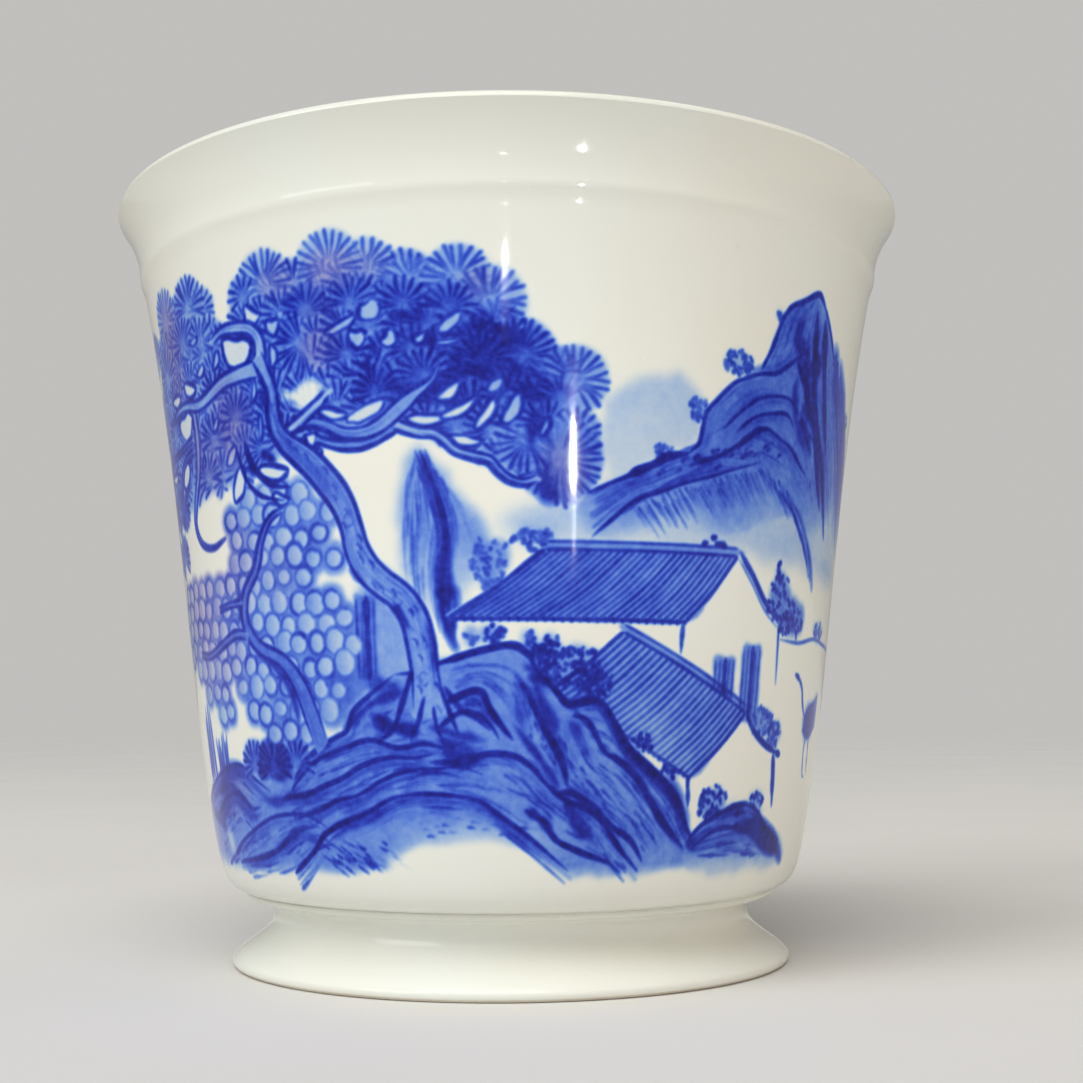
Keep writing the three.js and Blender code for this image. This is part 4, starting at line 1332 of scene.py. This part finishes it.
def slip_outline():
    """The band of slip that joins bowl and foot, closed, with its bead pressed out."""
    bore_top = (BORE_RADIUS, SLIP_EDGE[1])
    return np.vstack([
        [bore_top],
        line(bore_top, SLIP_EDGE, 5),
        bezier(SLIP_EDGE, (26.0, 6.5), (26.22, 6.8), WAIST, 10),
        line(WAIST, (BORE_RADIUS, WAIST[1]), 5),
    ])


# ---------------------------------------------------------------------------------------------
# Meshes
# ---------------------------------------------------------------------------------------------

SHARP_ANGLE = 24               # the degrees between faces past which an edge looks sharp


def make_object(name, points, quads, triangles=None):
    """A smooth mesh object from points in millimetres, with quads and then triangles."""
    triangles = np.zeros((0, 3), int) if triangles is None else np.asarray(triangles)
    mesh = bpy.data.meshes.new(name)
    mesh.vertices.add(len(points))
    mesh.vertices.foreach_set("co", (points * MM).astype(np.float32).ravel())
    corners = np.concatenate([quads.ravel(), triangles.ravel()]).astype(np.int32)
    sizes = np.concatenate([np.full(len(quads), 4), np.full(len(triangles), 3)])
    starts = np.concatenate([[0], np.cumsum(sizes)[:-1]]).astype(np.int32)
    mesh.loops.add(len(corners))
    mesh.loops.foreach_set("vertex_index", corners)
    mesh.polygons.add(len(sizes))
    mesh.polygons.foreach_set("loop_start", starts)
    mesh.polygons.foreach_set("use_smooth", np.ones(len(sizes), bool))
    mesh.update(calc_edges=True)
    mesh.validate()
    mesh.set_sharp_from_angle(angle=math.radians(SHARP_ANGLE))
    obj = bpy.data.objects.new(name, mesh)
    bpy.context.scene.collection.objects.link(obj)
    return obj


def around(radius, height, turns):
    """Points at each radius and height, turned round the axis from the front to the right."""
    height = height + 0 * turns
    return np.stack([radius * np.sin(turns), -radius * np.cos(turns), height], -1).reshape(-1, 3)


def ring_faces(rows, after, steps):
    """The quads between rings of points, from each of the rows to the one after it."""
    near = np.arange(steps)
    far = (near + 1) % steps
    low = rows[:, None] * steps
    high = after[:, None] * steps
    return np.stack([low + near, low + far, high + far, high + near], -1).reshape(-1, 4)


def lathe(name, outline, closed, wobble=None):
    """A turned solid. An open outline starts and ends on the axis; a closed one makes a ring."""
    turns = np.linspace(0, 2 * math.pi, TURN, endpoint=False)
    inner = outline if closed else outline[1:-1]
    radius = inner[:, :1] * np.ones(TURN)
    if wobble is not None:
        radius = radius + wobble(inner, turns)
    points = around(radius, inner[:, 1:], turns)
    rows = np.arange(len(inner) if closed else len(inner) - 1)
    quads = ring_faces(rows, (rows + 1) % len(inner), TURN)
    if closed:
        return make_object(name, points, quads)
    first = len(points)
    last = first + 1
    ends = np.array([(0, 0, outline[0, 1]), (0, 0, outline[-1, 1])])
    near = np.arange(TURN)
    far = (near + 1) % TURN
    top = (len(inner) - 1) * TURN
    caps = np.vstack([
        np.column_stack([np.full(TURN, first), far, near]),
        np.column_stack([np.full(TURN, last), top + near, top + far]),
    ])
    return make_object(name, np.vstack([points, ends]), quads, caps)


PANEL_COLUMNS = 520            # the fine steps across a painted panel's face
PANEL_ROWS = 608               # and up it
BACK_COLUMNS = 26              # the coarse steps of its hidden back, which divide the fine ones
BACK_ROWS = 32


def grid_faces(first, rows, columns, flip):
    """The quads of a grid of points numbered row by row from first."""
    row, column = np.meshgrid(np.arange(rows), np.arange(columns), indexing="ij")
    corner = first + row * (columns + 1) + column
    up = columns + 1
    order = (0, up, up + 1, 1) if flip else (0, 1, up + 1, up)
    return np.stack([corner + step for step in order], -1).reshape(-1, 4)


def stitch(fine, coarse, flip):
    """Triangles that join a fine border to a coarse one of the same length."""
    ratio = (len(fine) - 1) // (len(coarse) - 1)
    faces = []
    for i in range(len(coarse) - 1):
        run = fine[i * ratio:(i + 1) * ratio + 1]
        middle = ratio // 2
        for j in range(ratio):
            faces.append((run[j], run[j + 1], coarse[i] if j < middle else coarse[i + 1]))
        faces.append((run[middle], coarse[i + 1], coarse[i]))
    faces = np.array(faces)
    return faces[:, ::-1] if flip else faces


def painted_panel(name, sheet_ink, sheet_violet, middle):
    """A thin shell over a quarter of the outside wall that carries its part of the painting."""
    fine = outer_wall(PANEL_ROWS)
    coarse = outer_wall(BACK_ROWS)
    quarter = math.pi / 4
    turns = np.linspace(middle - quarter, middle + quarter, PANEL_COLUMNS + 1)
    back_turns = np.linspace(middle - quarter, middle + quarter, BACK_COLUMNS + 1)
    points = np.vstack([
        around(fine[:, :1], fine[:, 1:], turns),
        around(coarse[:, :1] - PANEL_DEPTH, coarse[:, 1:], back_turns),
    ])
    front = np.arange((PANEL_ROWS + 1) * (PANEL_COLUMNS + 1)).reshape(PANEL_ROWS + 1, -1)
    back = front.size + np.arange((BACK_ROWS + 1) * (BACK_COLUMNS + 1)).reshape(BACK_ROWS + 1, -1)
    quads = np.vstack([
        grid_faces(0, PANEL_ROWS, PANEL_COLUMNS, False),
        grid_faces(front.size, BACK_ROWS, BACK_COLUMNS, True),
    ])
    triangles = np.vstack([
        stitch(front[0], back[0], True),
        stitch(front[-1], back[-1], False),
        stitch(front[:, 0], back[:, 0], False),
        stitch(front[:, -1], back[:, -1], True),
    ])
    panel = make_object(name, points, quads, triangles)
    colours = np.zeros((len(points), 4), np.float32)
    colours[:, 3] = 1
    for channel, sheet in enumerate((sheet_ink, sheet_violet)):
        values = read_sheet(sheet, turns * SHEET_RADIUS, fine[:, 1])
        colours[:front.size, channel] = values.ravel()
    cobalt = panel.data.attributes.new("cobalt", "FLOAT_COLOR", "POINT")
    cobalt.data.foreach_set("color", colours.ravel())
    return panel


def read_sheet(sheet, u, z):
    """The sheet's values at every z and u, read between its cells."""
    column = u / CELL - 0.5
    row = np.clip(z / CELL - 0.5, 0, SHEET_ROWS - 1.001)
    left = np.floor(column).astype(int)
    low = np.floor(row).astype(int)
    across = column - left
    up = (row - low)[:, None]
    near = left % SHEET_COLUMNS
    far = (left + 1) % SHEET_COLUMNS
    below = sheet[low][:, near] * (1 - across) + sheet[low][:, far] * across
    above = sheet[low + 1][:, near] * (1 - across) + sheet[low + 1][:, far] * across
    return below * (1 - up) + above * up


# ---------------------------------------------------------------------------------------------
# Materials
# ---------------------------------------------------------------------------------------------

PORCELAIN = (0.80, 0.822, 0.765)
PORCELAIN_WARM = (0.80, 0.79, 0.71)
IRON_SPECK = (0.52, 0.47, 0.36)
POOLED_GREEN = (0.72, 0.735, 0.65)
POOLED_WARM = (0.775, 0.77, 0.69)
DRY_CLAY = (0.74, 0.70, 0.61)
DRY_STAIN = (0.62, 0.55, 0.44)
DRY_GRAIN = (0.5, 0.44, 0.36)
FLOOR_COLOUR = (0.70, 0.69, 0.67)
FULL_COBALT = 10.0             # the density at the sheet's full value
# What the cobalt soaks up beside red: per density, and per density cubed.
GREEN_LOSS = (0.6, 0.01)
BLUE_LOSS = (0.01, 0.0072)
# What it soaks up more where it has fired violet.
VIOLET_GREEN_LOSS = 0.70
VIOLET_BLUE_LOSS = 0.40


class Nodes:
    """Short ways to add and join the nodes of one material."""

    def __init__(self, name):
        self.material = bpy.data.materials.new(name)
        self.material.use_nodes = True
        self.tree = self.material.node_tree
        self.shader = self.tree.nodes["Principled BSDF"]
        self.place = self.add("ShaderNodeTexCoord").outputs["Object"]

    def add(self, kind, **inputs):
        """A new node with its inputs set or joined by name."""
        node = self.tree.nodes.new(kind)
        for name, value in inputs.items():
            self.join(value, node.inputs[name.replace("_", " ")])
        return node

    def join(self, value, socket):
        """Links an output to a socket, or sets the socket to a constant."""
        if isinstance(value, bpy.types.NodeSocket):
            self.tree.links.new(value, socket)
        else:
            socket.default_value = value

    def give(self, name, value):
        """Gives the shader one of its inputs."""
        self.join(value, self.shader.inputs[name])

    def noise(self, scale, detail=3.0, roughness=0.5):
        """Noise through the solid, with its scale in waves per metre."""
        node = self.add("ShaderNodeTexNoise", Vector=self.place, Scale=scale, Detail=detail,
                        Roughness=roughness)
        return node.outputs["Fac"]

    def math(self, operation, *values):
        """The result of one sum."""
        node = self.tree.nodes.new("ShaderNodeMath")
        node.operation = operation
        for value, socket in zip(values, node.inputs):
            self.join(value, socket)
        return node.outputs[0]

    def span(self, value, low, high):
        """Takes 0.3 to 0.7, where a noise mostly lies, to low and high."""
        node = self.add("ShaderNodeMapRange", Value=value, From_Min=0.3, From_Max=0.7, To_Min=low,
                        To_Max=high)
        return node.outputs[0]

    def mix(self, share, first, second, blend="MIX"):
        """Two colours mixed, or joined by another blend."""
        node = self.tree.nodes.new("ShaderNodeMix")
        node.data_type = "RGBA"
        node.blend_type = blend
        sockets = [s for s in node.inputs if s.type == "RGBA" or s.name == "Factor"]
        for value, socket in zip((share, first, second), (sockets[0], sockets[-2], sockets[-1])):
            self.join((*value, 1) if isinstance(value, tuple) else value, socket)
        return [s for s in node.outputs if s.type == "RGBA"][0]

    def bump(self, height, distance):
        """Gives the shader small relief, of a depth in metres."""
        node = self.add("ShaderNodeBump", Height=height, Distance=distance, Strength=1.0)
        self.tree.links.new(node.outputs["Normal"], self.shader.inputs["Normal"])


def porcelain_colour(nodes):
    """Bare glazed porcelain: a slightly green white with warmer clouds and fine iron specks."""
    clouds = nodes.span(nodes.noise(45.0, 2.0), 0.0, 1.0)
    base = nodes.mix(clouds, PORCELAIN, PORCELAIN_WARM)
    specks = nodes.math("GREATER_THAN", nodes.noise(900.0, 1.0), 0.80)
    return nodes.mix(nodes.math("MULTIPLY", specks, 0.10), base, IRON_SPECK)


def glaze_surface(nodes):
    """The clear glaze: glossy, with the faint ripple and orange peel of a fired coat."""
    nodes.give("Roughness", nodes.span(nodes.noise(160.0, 4.0), 0.045, 0.085))
    nodes.give("IOR", 1.5)
    nodes.give("Specular IOR Level", 0.3)
    ripple = nodes.noise(110.0, 1.0)
    peel = nodes.math("MULTIPLY", nodes.noise(900.0, 2.0), 0.05)
    nodes.bump(nodes.math("ADD", ripple, peel), 0.00005)


def bare_glaze():
    """Glazed porcelain without paint."""
    nodes = Nodes("bare_glaze")
    nodes.give("Base Color", porcelain_colour(nodes))
    glaze_surface(nodes)
    return nodes.material


def cobalt_glaze():
    """Porcelain seen through painted cobalt, which soaks up red first, then green, then blue."""
    nodes = Nodes("cobalt_glaze")
    attribute = nodes.add("ShaderNodeAttribute")
    attribute.attribute_name = "cobalt"
    parts = nodes.add("ShaderNodeSeparateColor", Color=attribute.outputs["Color"])
    grain = nodes.span(nodes.noise(1500.0, 2.0, 0.6), 0.90, 1.10)
    pools = nodes.span(nodes.noise(330.0, 2.0), 0.93, 1.07)
    density = nodes.math("MULTIPLY", parts.outputs["Red"], FULL_COBALT)
    density = nodes.math("MULTIPLY", nodes.math("MULTIPLY", density, grain), pools)
    cubed = nodes.math("POWER", density, 3.0)
    green, blue = (
        nodes.math("MULTIPLY_ADD", cubed, steep, nodes.math("MULTIPLY", density, gentle))
        for gentle, steep in (GREEN_LOSS, BLUE_LOSS)
    )
    fired = nodes.math("SUBTRACT", 1.0, nodes.math("EXPONENT", nodes.math("MULTIPLY", density, -1.0)))
    fired = nodes.math("MULTIPLY", fired, parts.outputs["Green"])
    green = nodes.math("MULTIPLY_ADD", fired, VIOLET_GREEN_LOSS, green)
    blue = nodes.math("MULTIPLY_ADD", fired, VIOLET_BLUE_LOSS, blue)
    kept = [nodes.math("EXPONENT", nodes.math("MULTIPLY", part, -1.0)) for part in (density, green, blue)]
    tint = nodes.add("ShaderNodeCombineColor", Red=kept[0], Green=kept[1], Blue=kept[2])
    nodes.give("Base Color", nodes.mix(1.0, porcelain_colour(nodes), tint.outputs[0], "MULTIPLY"))
    glaze_surface(nodes)
    return nodes.material


def pooled_glaze():
    """Thick glaze in the waist: a little greener and glassier."""
    nodes = Nodes("pooled_glaze")
    tone = nodes.span(nodes.noise(120.0, 2.0), 0.0, 1.0)
    nodes.give("Base Color", nodes.mix(tone, POOLED_GREEN, POOLED_WARM))
    glaze_surface(nodes)
    return nodes.material


def dry_land():
    """The unglazed edge that the cup stands on: matt, sandy and worn."""
    nodes = Nodes("dry_land")
    grain = nodes.noise(2600.0, 4.0, 0.7)
    stain = nodes.span(nodes.noise(90.0, 3.0), 0.0, 1.0)
    colour = nodes.mix(stain, DRY_CLAY, DRY_STAIN)
    nodes.give("Base Color", nodes.mix(nodes.span(grain, 0.0, 0.35), colour, DRY_GRAIN))
    nodes.give("Roughness", nodes.span(grain, 0.62, 0.85))
    nodes.bump(grain, 0.00006)
    return nodes.material


def floor_surface():
    """The studio's pale matt floor, with faint clouds."""
    nodes = Nodes("studio_floor")
    tone = nodes.span(nodes.noise(14.0, 3.0), 0.0, 1.0)
    darker, lighter = (tuple(share * part for part in FLOOR_COLOUR) for share in (0.98, 1.02))
    nodes.give("Base Color", nodes.mix(tone, darker, lighter))
    nodes.give("Roughness", nodes.span(nodes.noise(400.0), 0.6, 0.72))
    nodes.give("Specular IOR Level", 0.0)
    return nodes.material


# ---------------------------------------------------------------------------------------------
# The cup
# ---------------------------------------------------------------------------------------------


def place_piece(piece, node, slot, *materials):
    """Puts a piece on the cup, in the place of a CAD node and with its finish."""
    for material in materials:
        piece.data.materials.append(material)
    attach(piece, "root")
    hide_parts(node)


def build_bowl(bare):
    """The bowl's inside, lip, heel and underside."""
    body = lathe("bowl_body", bowl_outline(), closed=False)
    place_piece(body, "bowl", "glazed_porcelain", bare)


def build_painting():
    """The four painted panels of the wall."""
    sheet = paint()
    ink = np.clip(blurred(sheet.ink, 0.65) / FULL_COBALT, 0, 1)
    painted = cobalt_glaze()
    for index, side in enumerate(("front", "right", "back", "left")):
        panel = painted_panel("painted_glaze_" + side, ink, sheet.violet, index * math.pi / 2)
        place_piece(panel, "bowl", "glazed_porcelain", painted)


def build_foot(bare):
    """The foot ring, glazed but for its land."""
    foot = lathe("foot", foot_outline(), closed=True)
    place_piece(foot, "foot_ring", "foot_porcelain", bare, dry_land())
    count = len(foot.data.polygons)
    centres = np.zeros(count * 3, np.float32)
    foot.data.polygons.foreach_get("center", centres)
    height = centres[2::3] / MM
    foot.data.polygons.foreach_set("material_index", (height < LAND_HEIGHT).astype(np.int32))


def build_slip():
    """The bead of slip round the waist, which was wiped by hand and so is not quite even."""
    rng = np.random.default_rng(71)
    phase = rng.uniform(0, 2 * math.pi, 4)

    def wobble(inner, turns):
        wave = sum(np.sin(k * turns + p) / k for k, p in zip((3, 5, 9, 14), phase))
        outside = np.clip((inner[:, :1] - 25.2) / 0.8, 0, 1)
        return 0.05 * outside * wave

    bead = lathe("slip_bead", slip_outline(), closed=True, wobble=wobble)
    place_piece(bead, "slip_joint", "glazed_slip", pooled_glaze())


# ---------------------------------------------------------------------------------------------
# The studio
# ---------------------------------------------------------------------------------------------

FLOOR_RADIUS = 4000
FLOOR_RINGS = 40
FLOOR_STEPS = 96               # the steps round the floor
CUP_MIDDLE = (0, 0, 38)        # what the lamps are aimed at
WORLD_LIGHT = 0.33             # the brightness of the studio all round
SKY_LIGHT = 1.55               # a wide soft light from high in front
SKY_TILT = 30                  # how many degrees it leans from straight above
SKY_TURN = -15                 # and how many it is turned to the viewer's left
SKY_WIDTH = 45                 # how many degrees across it is


def build_floor():
    """A wide round floor."""
    turns = np.linspace(0, 2 * math.pi, FLOOR_STEPS, endpoint=False)
    radius = np.linspace(0, FLOOR_RADIUS, FLOOR_RINGS + 1)[1:, None]
    rings = around(radius, 0 * radius, turns)
    rows = np.arange(FLOOR_RINGS - 1)
    near = np.arange(FLOOR_STEPS)
    far = (near + 1) % FLOOR_STEPS
    middle = np.column_stack([np.full(FLOOR_STEPS, len(rings)), far, near])
    quads = ring_faces(rows, rows + 1, FLOOR_STEPS)
    floor = make_object("floor", np.vstack([rings, [(0, 0, 0)]]), quads, middle)
    floor.data.materials.append(floor_surface())


def placed(place, right, above, ahead):
    """A matrix at a place in millimetres, with the axes that a lamp or a camera looks along."""
    matrix = Matrix.Identity(4)
    for row in range(3):
        matrix[row][0] = right[row]
        matrix[row][1] = above[row]
        matrix[row][2] = -ahead[row]
        matrix[row][3] = place[row] * MM
    return matrix


def aim(place, target):
    """A matrix at a place, looking at a target, both in millimetres."""
    place = np.array(place, float)
    ahead = np.array(target, float) - place
    ahead = ahead / np.linalg.norm(ahead)
    right = np.cross(ahead, (0, 0, 1))
    right = right / np.linalg.norm(right)
    return placed(place, right, np.cross(right, ahead), ahead)


def soft_light(name, place, target, width, height, power, colour, shown=True, spread=180):
    """A rectangular lamp, sized in millimetres. The camera never sees it."""
    data = bpy.data.lights.new(name, "AREA")
    data.shape = "RECTANGLE"
    data.size = width * MM
    data.size_y = height * MM
    data.energy = power
    data.color = colour
    data.spread = math.radians(spread)
    lamp = bpy.data.objects.new(name, data)
    bpy.context.scene.collection.objects.link(lamp)
    lamp.matrix_world = aim(place, target)
    lamp.visible_camera = False
    lamp.visible_glossy = shown


def sky_light():
    """A wide soft light from high in front."""
    sky = bpy.data.lights.new("sky", "SUN")
    sky.energy = SKY_LIGHT
    sky.angle = math.radians(SKY_WIDTH)
    sky.color = (1.0, 1.0, 0.985)
    lamp = bpy.data.objects.new("sky", sky)
    lamp.rotation_euler = (math.radians(SKY_TILT), 0, math.radians(SKY_TURN))
    bpy.context.scene.collection.objects.link(lamp)


def light_studio():
    """The lamps: a large soft key, a warm fill, the sky, and three small ones for the streaks."""
    soft_light("key", (-560, -430, 420), CUP_MIDDLE, 420, 420, 2.2, (1.0, 0.99, 0.96))
    soft_light("warm_fill", (620, -120, 260), CUP_MIDDLE, 300, 300, 0.5, (1.0, 0.70, 0.45), shown=False)
    sky_light()
    # Small bright lamps beside the viewer, which draw the thin upright streaks on the glaze.
    for name, place, target, width, height, power in (
        ("streak_right", (63, -192, 29.5), (4, -34, 44), 2.4, 10.0, 0.004),
        ("streak_right_low", (64.5, -190.5, 19), (4, -34, 39), 1.6, 10.0, 0.0001),
        ("streak_middle", (-3, -166, 51.6), (0, -36, 62.5), 2.0, 2.0, 0.0002),
    ):
        soft_light(name, place, target, width, height, power, (1, 1, 0.97), spread=50)


def surround():
    """The studio all round, and behind the cup a backdrop of the floor's colour."""
    world = bpy.data.worlds.new("studio")
    world.use_nodes = True
    tree = world.node_tree
    light = tree.nodes["Background"]
    light.inputs["Color"].default_value = (1.0, 0.99, 0.97, 1)
    light.inputs["Strength"].default_value = WORLD_LIGHT
    # What the camera sees behind the cup is as bright as the far floor, so no horizon shows.
    seen = tree.nodes.new("ShaderNodeBackground")
    seen.inputs["Color"].default_value = (*FLOOR_COLOUR, 1)
    seen.inputs["Strength"].default_value = (
        WORLD_LIGHT + SKY_LIGHT * math.cos(math.radians(SKY_TILT)) / math.pi
    )
    path = tree.nodes.new("ShaderNodeLightPath")
    either = tree.nodes.new("ShaderNodeMixShader")
    tree.links.new(path.outputs["Is Camera Ray"], either.inputs[0])
    tree.links.new(light.outputs[0], either.inputs[1])
    tree.links.new(seen.outputs[0], either.inputs[2])
    tree.links.new(either.outputs[0], tree.nodes["World Output"].inputs["Surface"])
    bpy.context.scene.world = world
    bpy.context.scene.view_settings.view_transform = "Standard"


CAMERA_PLACE = (0.0, -159.84, 23.23)
CAMERA_PITCH = 6.484           # degrees up
CAMERA_YAW = 1.155             # degrees to the right
CAMERA_ROLL = -0.359
CAMERA_LENS = 52.16
SENSOR_WIDTH = 36.0


def place_camera():
    """The viewer: a little above the table, close to the cup and looking slightly up."""
    pitch = math.radians(CAMERA_PITCH)
    yaw = math.radians(CAMERA_YAW)
    roll = math.radians(CAMERA_ROLL)
    ahead = np.array([math.sin(yaw) * math.cos(pitch), math.cos(yaw) * math.cos(pitch), math.sin(pitch)])
    right = np.array([math.cos(yaw), -math.sin(yaw), 0.0])
    above = np.cross(right, ahead)
    tilted = math.cos(roll) * right + math.sin(roll) * above
    upright = math.cos(roll) * above - math.sin(roll) * right
    data = bpy.data.cameras.new("camera")
    data.sensor_fit = "HORIZONTAL"
    data.sensor_width = SENSOR_WIDTH
    data.lens = CAMERA_LENS
    data.clip_start = 0.005
    data.clip_end = 20.0
    camera = bpy.data.objects.new("camera", data)
    bpy.context.scene.collection.objects.link(camera)
    camera.matrix_world = placed(CAMERA_PLACE, tilted, upright, ahead)
    bpy.context.scene.camera = camera


bare = bare_glaze()
build_bowl(bare)
build_painting()
build_foot(bare)
build_slip()
build_floor()
light_studio()
surround()
place_camera()
